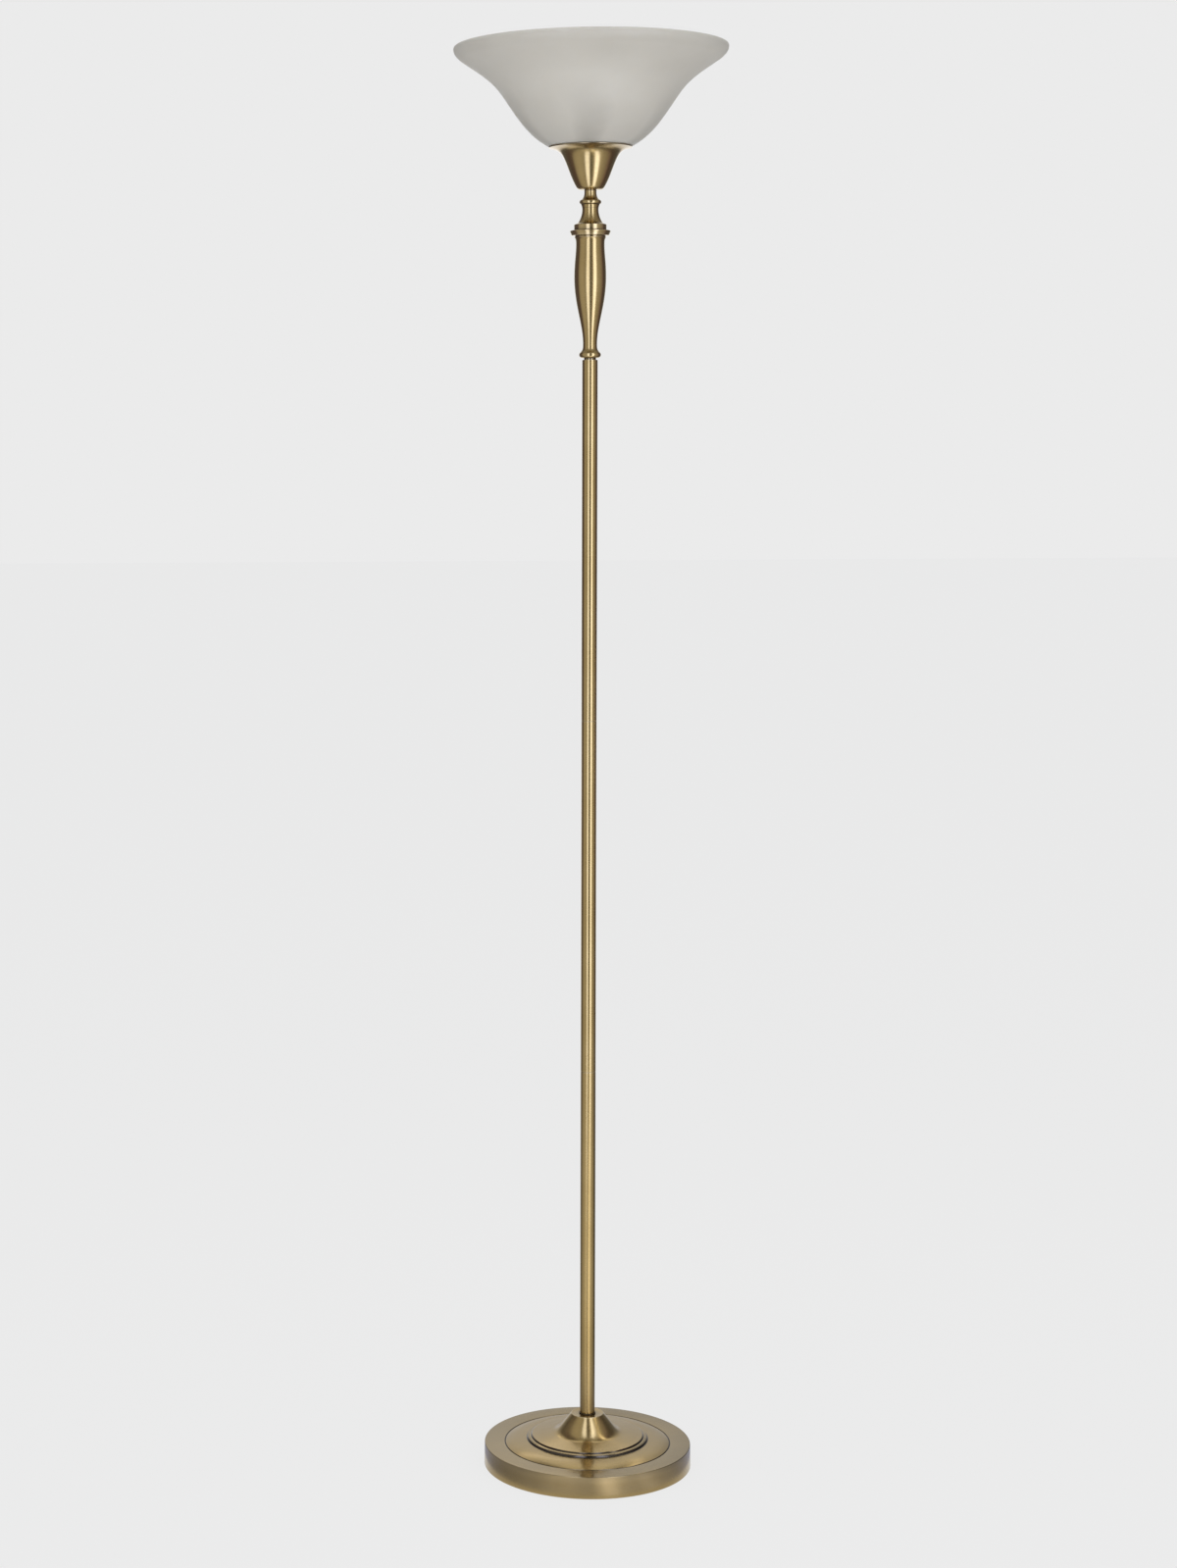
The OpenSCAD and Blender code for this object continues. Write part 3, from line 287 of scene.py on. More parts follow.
class Finish:
    """One material's node tree, built with short calls."""

    def __init__(self, name):
        self.material = bpy.data.materials.new(name)
        self.material.use_nodes = True
        self.tree = self.material.node_tree
        self.shader = self.tree.nodes["Principled BSDF"]
        self.place = self.add("TexCoord").outputs["Object"]

    def add(self, kind, feeds=None, **settings):
        node = self.tree.nodes.new("ShaderNode" + kind)
        for key, value in settings.items():
            setattr(node, key, value)
        for key, value in (feeds or {}).items():
            self.feed(node.inputs[key], value)
        return node

    def feed(self, socket, value):
        if isinstance(value, bpy.types.NodeSocket):
            self.tree.links.new(value, socket)
        elif isinstance(value, (tuple, list)) and len(value) == 3 and socket.type == "RGBA":
            socket.default_value = (*value, 1)
        else:
            socket.default_value = value

    def set(self, **values):
        for key, value in values.items():
            self.feed(self.shader.inputs[key.replace("_", " ")], value)

    def surface(self, node):
        """Shows another shader node in place of the main shader."""
        self.tree.links.new(node.outputs[0], self.tree.nodes["Material Output"].inputs["Surface"])

    def math(self, operation, a, b=0.0, c=0.0):
        return self.add("Math", {0: a, 1: b, 2: c}, operation=operation).outputs[0]

    def vector(self, operation, a, b=(0, 0, 0)):
        node = self.add("VectorMath", {0: a}, operation=operation)
        self.feed(node.inputs["Scale"] if operation == "SCALE" else node.inputs[1], b)
        return node.outputs["Value" if operation == "LENGTH" else "Vector"]

    def across(self):
        """The place without its height: the vector from the lamp's axis."""
        return self.vector("MULTIPLY", self.place, (1, 1, 0))

    def turn(self, parts):
        """Angle about the axis in radians, from the front; parts is the place taken apart."""
        return self.math("ARCTAN2", parts.outputs[0], self.math("MULTIPLY", parts.outputs[1], -1.0))

    def noise(self, scale, detail=3.0, roughness=0.5, vector=None, stretch=None):
        vector = vector or self.place
        if stretch:
            vector = self.vector("MULTIPLY", vector, stretch)
        feeds = {"Vector": vector, "Scale": scale, "Detail": detail, "Roughness": roughness}
        return self.add("TexNoise", feeds).outputs[0]

    def turned_noise(self, around, along, detail, roughness):
        """Noise for marks that run round a turned piece, with a scale round it and one along its profile. It
        reads the direction from the axis and not an angle, so that nothing jumps where a turn closes."""
        direction = self.vector("SCALE", self.vector("NORMALIZE", self.across()), around)
        uv = self.add("UVMap", uv_map="lathe").outputs[0]
        length = self.add("SeparateXYZ", {0: uv}).outputs[0]
        rise = self.vector("SCALE", self.add("CombineXYZ", {"Z": length}).outputs[0], along)
        return self.noise(1.0, detail, roughness, self.vector("ADD", direction, rise))

    def cells(self, scale):
        return self.add("TexVoronoi", {"Vector": self.place, "Scale": scale}).outputs["Distance"]

    def remap(self, value, low, high, to_low=0, to_high=1):
        feeds = {0: value, 1: low, 2: high, 3: to_low, 4: to_high}
        return self.add("MapRange", feeds, clamp=True).outputs[0]

    def blend(self, factor, a, b):
        return self.add("Mix", {0: factor, 6: a, 7: b}, data_type="RGBA").outputs[2]

    def bump(self, height, strength, distance):
        return self.add("Bump", {"Height": height, "Strength": strength, "Distance": distance}).outputs[0]

    def value_of(self, name):
        return self.add("Attribute", attribute_name=name).outputs["Fac"]


BRASS_DEEP, BRASS_PALE, BRASS_WORN_HIGHLIGHT = (0.335, 0.233, 0.086), (0.415, 0.300, 0.128), (0.56, 0.45, 0.26)
BRASS_RIM_SHADE, BRASS_STAIN = (0.235, 0.180, 0.085), (0.050, 0.041, 0.031)


def brass_finish():
    """Antique brass: turned marks round the axis, soft cloudy tone, brown stain in hollows, bright edges
    that are partly wear and partly a painted highlight, and painted shade that deepens the tone towards the
    rim of the base."""
    look = Finish("antique_brass")
    rim_shade_start, rim_shade_full = 0.080, 0.108
    fine = look.turned_noise(5.0, 5200.0, 2, 0.6)
    bands = look.turned_noise(1.2, 420.0, 3, 0.55)
    cloud = look.noise(9.0, 4, 0.55)
    base = look.blend(look.remap(cloud, 0.35, 0.68), BRASS_DEEP, BRASS_PALE)
    base = look.blend(look.remap(bands, 0.3, 0.7, 0, 0.35), base, BRASS_DEEP)
    base = look.blend(look.remap(fine, 0.35, 0.75, 0, 0.25), base, BRASS_PALE)
    # Lighter edges: partly rubbed brass, partly a painted highlight of the rounded edges.
    base = look.blend(look.remap(look.value_of("wear_and_highlight"), 0.1, 0.9, 0, 0.55), base, BRASS_WORN_HIGHLIGHT)
    # Painted shade: towards the rim of the base the colour darkens, in place of darker reflections there.
    reach = look.vector("LENGTH", look.across())
    base = look.blend(look.remap(reach, rim_shade_start, rim_shade_full, 0, 0.16), base, BRASS_RIM_SHADE)
    spread = look.math("ADD", look.value_of("stain"), look.remap(cloud, 0.3, 0.7, -0.12, 0.12))
    stain = look.remap(spread, 0.22, 0.85)
    base = look.blend(stain, base, BRASS_STAIN)
    rough = look.remap(bands, 0.3, 0.7, 0.210, 0.255)
    rough = look.math("SUBTRACT", rough, look.math("MULTIPLY", stain, 0.09))
    relief = look.math("ADD", look.math("MULTIPLY", fine, 0.5), look.math("MULTIPLY", bands, 0.5))
    tangent = look.add("Tangent", direction_type="UV_MAP", uv_map="lathe").outputs[0]
    look.set(Base_Color=base, Metallic=1.0, Roughness=rough, Anisotropic=0.84, Tangent=tangent,
             Coat_Weight=0.25, Coat_Roughness=0.12, Coat_IOR=1.5,
             Normal=look.bump(relief, 0.25, 0.00004))
    return look.material


def satin_glass_finish():
    """Etched glass: pale, lit through its wall, with a fine grain, slow swirls in its thickness, soft darker
    lobes low in the bowl that are painted shadow of the lampholder inside, and a darker rim that is painted
    shade."""
    look = Finish("satin_glass")
    foot, shadow_lobe_top, shaded_rim_low, shaded_rim_high, shadow_lobe_count = 1.664, 1.735, 1.764, 1.779, 5.0
    swirl = look.noise(5.0, 4, 0.6, stretch=(1, 1, 1.8))
    streak = look.noise(14.0, 3, 0.5, stretch=(1, 1, 0.25))
    grain = look.noise(1900.0, 2, 0.6)
    tone = look.math("ADD", look.math("MULTIPLY", swirl, 0.7), look.math("MULTIPLY", streak, 0.3))
    base = look.blend(look.remap(tone, 0.35, 0.65), (0.528, 0.510, 0.469), (0.580, 0.563, 0.523))
    parts = look.add("SeparateXYZ", {0: look.place})
    height = parts.outputs[2]
    angle = look.math("ADD", look.turn(parts), look.remap(swirl, 0.3, 0.7, -0.12, 0.25))
    # Painted shadow: soft darker lobes low in the bowl, where the lampholder inside would shade the glass.
    shadow_lobe = look.math("MAXIMUM", look.math("COSINE", look.math("MULTIPLY", angle, shadow_lobe_count)), 0.0)
    depth = look.remap(height, foot, shadow_lobe_top, 1, 0)
    cloud = look.math("MULTIPLY", depth, look.math("MULTIPLY_ADD", shadow_lobe, 0.42, 0.08))
    base = look.blend(cloud, base, (0.30, 0.29, 0.26))
    # Painted shade: the rim is darkened against the light from above.
    base = look.blend(look.remap(height, shaded_rim_low, shaded_rim_high, 0, 0.62), base, (0.40, 0.39, 0.36))
    look.set(Base_Color=base, Roughness=look.remap(grain, 0.3, 0.7, 0.46, 0.58), IOR=1.45,
             Subsurface_Weight=0.75, Subsurface_Radius=(0.012, 0.011, 0.010), Subsurface_Scale=1.0,
             Normal=look.bump(grain, 0.18, 0.00005))
    return look.material


def speckled(name, low, high, scale, rough, relief, metallic=0.0, stretch=None, grain=600.0, **settings):
    """A finish that drifts between two colours, with a fine grain in its roughness and relief."""
    look = Finish(name)
    drift = look.noise(scale, 4, 0.55, stretch=stretch)
    fine = look.noise(grain, 3, 0.6, stretch=stretch)
    base = look.blend(look.remap(drift, 0.32, 0.68), low, high)
    base = look.blend(look.remap(fine, 0.3, 0.75, 0, 0.18), base, low)
    strength, distance = relief
    look.set(Base_Color=base, Metallic=metallic, Roughness=look.remap(fine, 0.3, 0.7, *rough),
             Normal=look.bump(fine, strength, distance), **settings)
    return look.material


def felt_finish():
    """Pressed felt: short crossed fibres, from two stretched noises, and a soft sheen."""
    look = Finish("felt")
    one = look.noise(900.0, 3, 0.7, stretch=(1, 0.18, 1))
    two = look.noise(900.0, 3, 0.7, stretch=(0.18, 1, 1))
    fibre = look.math("MAXIMUM", one, two)
    clump = look.noise(60.0, 4, 0.6)
    base = look.blend(look.remap(fibre, 0.4, 0.8), (0.010, 0.010, 0.009), (0.052, 0.050, 0.046))
    base = look.blend(look.remap(clump, 0.35, 0.65, 0, 0.4), base, (0.020, 0.019, 0.018))
    look.set(Base_Color=base, Roughness=0.95, Sheen_Weight=0.35, Sheen_Roughness=0.5,
             Normal=look.bump(fibre, 0.8, 0.0004))
    return look.material


def zinc_finish():
    """Zinc plate: faceted spangle from cells, a straw and blue passivation drift, and fine scratches."""
    look = Finish("zinc_steel")
    spangle = look.cells(130.0)
    drift = look.noise(22.0, 3, 0.5)
    scratch = look.noise(420.0, 3, 0.7, stretch=(1, 0.06, 1))
    base = look.blend(look.remap(drift, 0.35, 0.65), (0.56, 0.58, 0.60), (0.62, 0.60, 0.55))
    base = look.blend(look.remap(spangle, 0.1, 0.7, 0, 0.4), base, (0.44, 0.46, 0.49))
    look.set(Base_Color=base, Metallic=1.0, Roughness=look.remap(scratch, 0.3, 0.7, 0.24, 0.44),
             Normal=look.bump(scratch, 0.12, 0.00005))
    return look.material


def cast_finish():
    """Painted casting: sand grain in relief, with slightly glossy high spots."""
    look = Finish("cast_iron")
    sand = look.noise(330.0, 5, 0.65)
    lump = look.noise(70.0, 3, 0.5)
    base = look.blend(look.remap(sand, 0.35, 0.7), (0.012, 0.012, 0.013), (0.040, 0.040, 0.042))
    height = look.math("ADD", look.math("MULTIPLY", sand, 0.6), look.math("MULTIPLY", lump, 0.4))
    look.set(Base_Color=base, Roughness=look.remap(sand, 0.3, 0.7, 0.75, 0.48),
             Normal=look.bump(height, 0.7, 0.0006))
    return look.material


def striped_insulation(name, first, second):
    """Two-colour insulation: a band round the core's own direction, on height and angle."""
    look = Finish(name)
    wave = look.add("TexWave", {"Vector": look.place, "Scale": 60.0, "Distortion": 0.4},
                    wave_type="BANDS", bands_direction="DIAGONAL").outputs["Fac"]
    fine = look.noise(500.0, 3, 0.5)
    base = look.blend(look.remap(wave, 0.46, 0.54), first, second)
    look.set(Base_Color=base, Roughness=look.remap(fine, 0.3, 0.7, 0.34, 0.46),
             Normal=look.bump(fine, 0.1, 0.00005))
    return look.material


def opal_finish():
    """Opal lamp glass: milky, lit through, with a faint powdery cloud inside."""
    look = Finish("opal_glass")
    cloud = look.noise(40.0, 4, 0.6)
    powder = look.noise(900.0, 2, 0.6)
    base = look.blend(look.remap(cloud, 0.35, 0.65), (0.86, 0.85, 0.81), (0.92, 0.91, 0.88))
    look.set(Base_Color=base, Roughness=look.remap(powder, 0.3, 0.7, 0.16, 0.24), IOR=1.5,
             Subsurface_Weight=0.6, Subsurface_Radius=(0.006, 0.0055, 0.005), Subsurface_Scale=1.0,
             Normal=look.bump(powder, 0.05, 0.00003))
    return look.material


def clear_finish():
    """Clear drawn glass, slightly green, with slow ripples in its surface."""
    look = Finish("clear_glass")
    ripple = look.noise(90.0, 2, 0.5, stretch=(1, 1, 0.3))
    base = look.blend(look.remap(ripple, 0.4, 0.6), (0.86, 0.92, 0.90), (0.94, 0.97, 0.96))
    look.set(Base_Color=base, Roughness=look.remap(ripple, 0.3, 0.7, 0.02, 0.06), IOR=1.5,
             Transmission_Weight=1.0, Normal=look.bump(ripple, 0.15, 0.0002))
    return look.material


# Speckled finishes: two colours, the scale of their drift, a range of roughness, the strength and depth of
# the relief, and what else each has
SPECKLED = {
    "black_rubber": ((0.010, 0.010, 0.010), (0.022, 0.021, 0.020), 90.0, (0.62, 0.48), (0.25, 0.0001), {}),
    "black_plastic": ((0.012, 0.012, 0.013), (0.026, 0.026, 0.027), 60.0, (0.40, 0.52), (0.20, 0.0001),
                      {"grain": 1100.0}),
    "pale_plastic": ((0.66, 0.64, 0.58), (0.74, 0.72, 0.67), 50.0, (0.34, 0.46), (0.12, 0.0001),
                     {"Subsurface_Weight": 0.15, "Subsurface_Radius": (0.002, 0.002, 0.0015),
                      "Subsurface_Scale": 1.0}),
    "bright_brass": ((0.62, 0.45, 0.17), (0.76, 0.58, 0.27), 60.0, (0.20, 0.34), (0.15, 0.00005),
                     {"metallic": 1.0, "stretch": (1, 1, 5)}),
    "brown_insulation": ((0.060, 0.022, 0.008), (0.090, 0.034, 0.013), 70.0, (0.34, 0.46), (0.12, 0.00008),
                         {}),
    "blue_insulation": ((0.012, 0.050, 0.240), (0.020, 0.075, 0.320), 70.0, (0.34, 0.46), (0.12, 0.00008),
                        {}),
    "dark_washer": ((0.050, 0.034, 0.018), (0.110, 0.078, 0.040), 120.0, (0.30, 0.44), (0.15, 0.00005),
                    {"metallic": 0.9}),
    "clear_silicone": ((0.62, 0.62, 0.60), (0.72, 0.72, 0.70), 40.0, (0.36, 0.50), (0.10, 0.0001),
                       {"Subsurface_Weight": 0.8, "Subsurface_Radius": (0.004, 0.004, 0.004),
                        "Subsurface_Scale": 1.0}),
    "white_moulding": ((0.70, 0.69, 0.655), (0.76, 0.75, 0.72), 30.0, (0.22, 0.32), (0.06, 0.00006),
                       {"grain": 900.0, "Coat_Weight": 0.3, "Coat_Roughness": 0.12}),
    "porcelain": ((0.78, 0.77, 0.73), (0.84, 0.83, 0.80), 35.0, (0.14, 0.24), (0.05, 0.0001),
                  {"grain": 300.0, "Coat_Weight": 0.6, "Coat_Roughness": 0.06}),
    "lamp_aluminium": ((0.66, 0.66, 0.65), (0.76, 0.76, 0.76), 80.0, (0.22, 0.34), (0.12, 0.00005),
                       {"metallic": 1.0, "stretch": (1, 1, 6)}),
    "black_glass": ((0.008, 0.008, 0.010), (0.018, 0.018, 0.022), 90.0, (0.08, 0.20), (0.08, 0.00008),
                    {"Coat_Weight": 0.4, "Coat_Roughness": 0.05}),
    "tinned_contact": ((0.46, 0.45, 0.43), (0.62, 0.61, 0.58), 160.0, (0.26, 0.46), (0.4, 0.0002),
                       {"metallic": 1.0, "grain": 420.0}),
    "lamp_wire": ((0.30, 0.30, 0.31), (0.46, 0.46, 0.47), 200.0, (0.30, 0.44), (0.1, 0.00002),
                  {"metallic": 1.0, "grain": 2000.0}),
}
FINISHES = {
    "antique_brass": brass_finish(),
    "satin_glass": satin_glass_finish(),
    "felt": felt_finish(),
    "zinc_steel": zinc_finish(),
    "cast_iron": cast_finish(),
    "opal_glass": opal_finish(),
    "clear_glass": clear_finish(),
    "green_insulation": striped_insulation("green_insulation", (0.045, 0.26, 0.030), (0.62, 0.52, 0.03)),
}
for name, (*values, more) in SPECKLED.items():
    FINISHES[name] = speckled(name, *values, **more)

# CAD nodes keep their shape and take the finish of the slot that the record gives them
for part in frame["record"]["subparts"]:
    node = frame["nodes"][part["node"]]
    node.data.materials.clear()
    node.data.materials.append(FINISHES[part["material_slot"]])


# Base. A stain below is a radius, a height, a reach and a strength.

ROD_HOLE = 5.25
BASE_R, RING_H, GROOVE_R, GROOVE_W, GROOVE_DEPTH = 132.2, 28.4, 105.3, 1.6, 1.1
TIER_R, TIER_Z, BEAD_R, BEAD_W, BEAD_H, BEAD_Z = 77.9, 33.2, 77.0, 2.2, 0.4, 36.0
SHELF_Z = BEAD_Z - BEAD_H
COVER_T, COVER_LIFT, BASE_DRAFT, EDGE_ROUND = 1.2, 0.6, 0.7, 0.8
FOOT_R, DISC_R, DISC_Z, CONE_R, CONE_Z, HUB_T = 74.3, 70.5, 38.5, 46.0, 41.5, 1.5
HUB_TOP_R, HUB_TOP_Z, DISH_R, DISH_Z = 20.9, 66.4, 11.5, 65.8
INLET_Z, INLET_HOLE_R = 8.2, 5.3


def base_cover_profile():
    """Up the wall, in over the flat ring, the groove, the sloping tier and the bead, and back inside. Rows
    on the wall keep the faces small round the inlet's hole."""
    top_r, wall_top = BASE_R - BASE_DRAFT, RING_H - EDGE_ROUND
    wall_rows = [[BASE_R - BASE_DRAFT * (z - COVER_LIFT) / (wall_top - COVER_LIFT), z] for z in (2.6, 13.8)]
    line = path(
        [BASE_R, COVER_LIFT], wall_rows,
        arc((top_r - EDGE_ROUND, wall_top), EDGE_ROUND, 0, 90),
        [GROOVE_R + GROOVE_W / 2, RING_H], [GROOVE_R, RING_H - GROOVE_DEPTH],
        curve((GROOVE_R - GROOVE_W / 2, RING_H), 158, (TIER_R, TIER_Z), 176, count=40),
        [TIER_R - 0.8, TIER_Z + 0.3],
        [BEAD_R + 0.2, BEAD_Z - 2.0], [BEAD_R - 1.2, BEAD_Z - 0.25], [BEAD_R - 1.7, BEAD_Z],
        [BEAD_R - BEAD_W, BEAD_Z], [BEAD_R - BEAD_W - BEAD_H, SHELF_Z], [ROD_HOLE, SHELF_Z])
    inside = inset(line, COVER_T)
    return softened(path(line, inside[::-1]), 0.35)


def base_hub_profile():
    """Foot, narrow step, shallow disc and cone up to a dished top, and back inside."""
    floor_z, lip = DISH_Z - 2.1, 0.8
    line = path(
        [FOOT_R, SHELF_Z], [FOOT_R, SHELF_Z + 0.5],
        [FOOT_R - 0.6, SHELF_Z + 0.6], [DISC_R + 1.6, DISC_Z - 1.9], [DISC_R - 0.1, DISC_Z - 0.2],
        [DISC_R - 0.6, DISC_Z],
        curve((CONE_R, CONE_Z), 173, (HUB_TOP_R, HUB_TOP_Z - lip), 131, 0.28, 0.55, 56),
        arc((HUB_TOP_R - lip, HUB_TOP_Z - lip), lip, 0, 100, 8),
        [HUB_TOP_R - 2 * lip, HUB_TOP_Z - 0.1], [DISH_R, DISH_Z], [ROD_HOLE, DISH_Z])
    inside = path(
        [FOOT_R - 5, SHELF_Z], [DISC_R - HUB_T, DISC_Z - HUB_T],
        curve((CONE_R - 0.2, CONE_Z - HUB_T), 173, (HUB_TOP_R - HUB_T, HUB_TOP_Z - HUB_T - 2), 131,
              0.28, 0.55, 30),
        [HUB_TOP_R - 4.5, floor_z], [ROD_HOLE, floor_z])
    return softened(path(line, inside[::-1]), 0.3)


def cut_inlet_hole(cover):
    """Round hole along Y through the back wall of the cover."""
    sides, near, far = 48, 124, 140
    hole = arc((0, 0), INLET_HOLE_R, 0, 360, sides)[:-1]
    points = np.concatenate([np.insert(hole, 1, near, 1), np.insert(hole, 1, far, 1)]) + [0, 0, INLET_Z]
    a = np.arange(sides)
    b = (a + 1) % sides
    wall = np.stack([a + sides, b + sides, b, a], 1).tolist()
    cutter = bpy.data.meshes.new("inlet_hole")
    cutter.from_pydata(points * MM, [], wall + [a.tolist(), (a + sides)[::-1].tolist()])
    cut_with(cover, cutter)


def make_cover():
    cover = turned("base_cover", base_cover_profile(), "antique_brass", around=256,
                   stains=[(GROOVE_R, RING_H - 0.6, 0.45, 0.35), (BEAD_R - 0.4, BEAD_Z - 1.3, 0.85, 1.5),
                           (FOOT_R + 0.1, BEAD_Z - 0.2, 0.3, 0.4), (BASE_R - 0.9, RING_H - 0.1, 0.5, 0.42)])
    cut_inlet_hole(cover)


def make_hub():
    turned("base_hub", base_hub_profile(), "antique_brass", around=256,
           stains=[(FOOT_R - 0.1, BEAD_Z, 0.3, 0.4), (DISC_R + 0.8, DISC_Z - 1.2, 0.8, 1.5),
                   # Dark ring on the dish round the pole's foot: partly painted contact shadow.
                   (DISH_R + 0.7, DISH_Z + 0.1, 1.0, 0.5)])


def make_felt():
    radius, thickness = 125, 2
    felt = path([0, 0], [radius - 0.6, 0], [radius, 0.5], [radius, thickness - 0.4],
                [radius - 0.4, thickness], [0, thickness])
    turned("base_felt", softened(felt, 0.3, closed=False), "felt", around=160)


def make_inlet():
    """Rubber ring along Y in the cover's hole, with a groove for the wall and a rim on each side."""
    bore, neck, outer, inner_rim, rim = 3.6, 5.2, 133.8, 6.1, 6.5
    ring = path([bore, outer], [bore, 126], [inner_rim, 126], [inner_rim, 128], [neck, 128.2], [neck, 132.2],
                [rim, 132.2], [rim, outer])
    turned("cord_inlet", softened(ring, 0.5)[::-1], "black_rubber", around=64, axis="y",
           centre=(0, 0, INLET_Z))


# Pole

WASHER_R, WASHER_T = 10.5, 1.5
TUBE_R, TUBE_BORE_R, TUBE_L, TUBE_EDGE = 9.5, 8.5, 445.4, 0.3
POLE_Z = DISH_Z + WASHER_T


def make_foot_washer():
    foot = path([ROD_HOLE, DISH_Z], [WASHER_R, DISH_Z], [WASHER_R, POLE_Z], [ROD_HOLE, POLE_Z])
    turned("foot_washer", softened(foot, 0.35), "dark_washer", around=96)


def make_tubes():
    """Three equal tubes. Rows next to the ends keep the worn edges of the joints, with their painted
    highlight, narrow, and end_stain_and_shadow has one strength for each end and joint from the foot up; at
    the foot it is partly painted contact shadow."""
    # Foot strength: a dark joint and partly painted contact shadow where the pole meets the hub.
    end_stain_and_shadow = (0.9, 0.1, 0.1, 0.5)
    for place, name in enumerate(("lower_tube", "middle_tube", "upper_tube")):
        low = POLE_Z + place * TUBE_L
        high = low + TUBE_L
        height = np.concatenate([[low + TUBE_EDGE], np.linspace(low + 1.2, high - 1.2, 40),
                                 [high - TUBE_EDGE]])
        rise = np.stack([np.full(len(height), TUBE_R), height], 1)
        tube = path([TUBE_BORE_R, low], [TUBE_R - TUBE_EDGE, low], rise, [TUBE_R - TUBE_EDGE, high],
                    [TUBE_BORE_R, high])
        turned(name, softened(tube, 0.14), "antique_brass", around=128,
               stains=[(TUBE_R, low, 0.35, end_stain_and_shadow[place]), (TUBE_R, high, 0.35, end_stain_and_shadow[place + 1])])


# Spindle and cup

BODY_Z, PLATE_Z, NECK_Z, SPIGOT_R = 1403.5, 1552.3, 1560.2, 7.4


def spindle_body_profile():
    """Lower bead, waist, belly and shoulder."""
    bead_r, bead_z, rounding, rise = 9.4, 6.2, 4, 2.828
    waist, belly, shoulder, top_z = (8.65, 19.128), (19.6, 100.428), (17.5, 140.128), 148.828
    return softened(path(
        [ROD_HOLE, 0], [SPIGOT_R, 0], [SPIGOT_R, 2.2],
        arc((bead_r, bead_z), rounding, -90, 45, 18),
        curve((bead_r + rise, bead_z + rise), 135, waist, 90, 0.45, 0.5, 20),
        curve(waist, 90, belly, 90, 0.3, 0.42, 48),
        curve(belly, 90, shoulder, 90, 0.45, 0.3, 26),
        curve(shoulder, 90, (19.3, top_z - 0.8), 50, 0.5, 0.3, 14),
        [19.2, top_z - 0.2], [18.9, top_z], [ROD_HOLE, top_z]), 0.3) + [0, BODY_Z]


def spindle_disc_profile():
    """Disc with a slanting edge, and a seat under the neck."""
    rim, thickness = 24.9, 7.9
    return softened(path(
        [ROD_HOLE, 0], [18.8, 0], [18.8, 1.3], [22.9, 1.6], [rim, 6.4], [rim, 7.1], [rim - 0.5, 7.6],
        [19.95, thickness], [ROD_HOLE, thickness]), 0.3) + [0, PLATE_Z]


def spindle_neck_profile():
    """Collar, hollow neck, upper ring bead and the cone up to the cup."""
    collar_r, top_z, waist = 19.95, 48.6, (9.95, 25.2)
    return softened(path(
        [ROD_HOLE, 0], [collar_r - 0.3, 0], [collar_r, 0.3], [collar_r, 6.7], [collar_r - 0.6, 7.3],
        curve((17.85, 7.7), 165, waist, 90, 0.2, 0.4, 28),
        curve(waist, 90, (11.4, 31.1), 64, 0.36, 0.36, 14),
        arc((10.3, 34.1), 3.05, -46, 62, 18),
        curve((11.3, 37.1), 144, (SPIGOT_R, 45.4), 92, 0.3, 0.5, 18),
        [SPIGOT_R, top_z], [ROD_HOLE, top_z]), 0.3) + [0, NECK_Z]


def make_spindle():
    turned("spindle_body", spindle_body_profile(), "antique_brass", around=160,
           stains=[(SPIGOT_R, BODY_Z + 0.9, 0.8, 0.30), (19.2, PLATE_Z - 0.1, 0.4, 0.5)])
    turned("spindle_disc", spindle_disc_profile(), "antique_brass", around=160,
           stains=[(20.4, NECK_Z - 0.1, 0.7, 0.8)])
    turned("spindle_neck", spindle_neck_profile(), "antique_brass", around=160,
           stains=[(20.0, NECK_Z + 0.1, 0.5, 0.7), (18.5, NECK_Z + 7.6, 0.7, 0.7),
                   (10.1, NECK_Z + 27.2, 0.3, 0.6), (11.8, NECK_Z + 31.4, 0.6, 0.8),
                   (11.5, NECK_Z + 37.0, 0.5, 0.5), (7.6, NECK_Z + 48.4, 0.8, 0.5)])


CUP_Z, CUP_T, CUP_R = 1608.8, 1.2, 51.0
CUP_FOOT, CUP_FLARE = (17.6, 4), (29.2, 30.6)
CUP_LINE = path(
    [ROD_HOLE, 0],
    curve((11.5, 0), 0, CUP_FOOT, 60, 0.4, 0.4, 14),
    curve(CUP_FOOT, 60, CUP_FLARE, 68, 0.36, 0.36, 24),
    curve(CUP_FLARE, 68, (CUP_R, 50.7), 8, 0.5, 0.45, 44)) + [0, CUP_Z]
CUP_INSIDE = inset(CUP_LINE, CUP_T)
SEAT_Z, SEAT_R, SEAT_SLOPE, GLASS_T, HOLE_R = 1661.8, 52.0, math.tan(math.radians(11.3)), 4.0, 35.0
SHADE_R, SHADE_TOP = 166.8, 1780.0


def seat_at(radius):
    """Height of the glass's underside on its sloping seat."""
    return SEAT_Z - (SEAT_R - radius) * SEAT_SLOPE


def make_cup():
    turned("shade_cup", softened(path(CUP_LINE, CUP_INSIDE[::-1]), 0.35), "antique_brass", around=192,
           stains=[(CUP_R, CUP_Z + 50.9, 0.35, 0.8)])


def make_gasket():
    """Silicone ring between the cup's flare and the glass, following both."""
    inner, outer, below, above = 38, 46, 0.1, 0.3
    radius = np.linspace(inner, outer, 17)
    flare = CUP_INSIDE[CUP_INSIDE[:, 0] > CUP_FLARE[0]]
    low = np.interp(radius, flare[:, 0], flare[:, 1]) + below
    gasket = path(np.stack([radius, low], 1), np.stack([radius, seat_at(radius) - above], 1)[::-1])
    turned("shade_gasket", softened(gasket, 0.3), "clear_silicone", around=128)


# Glass

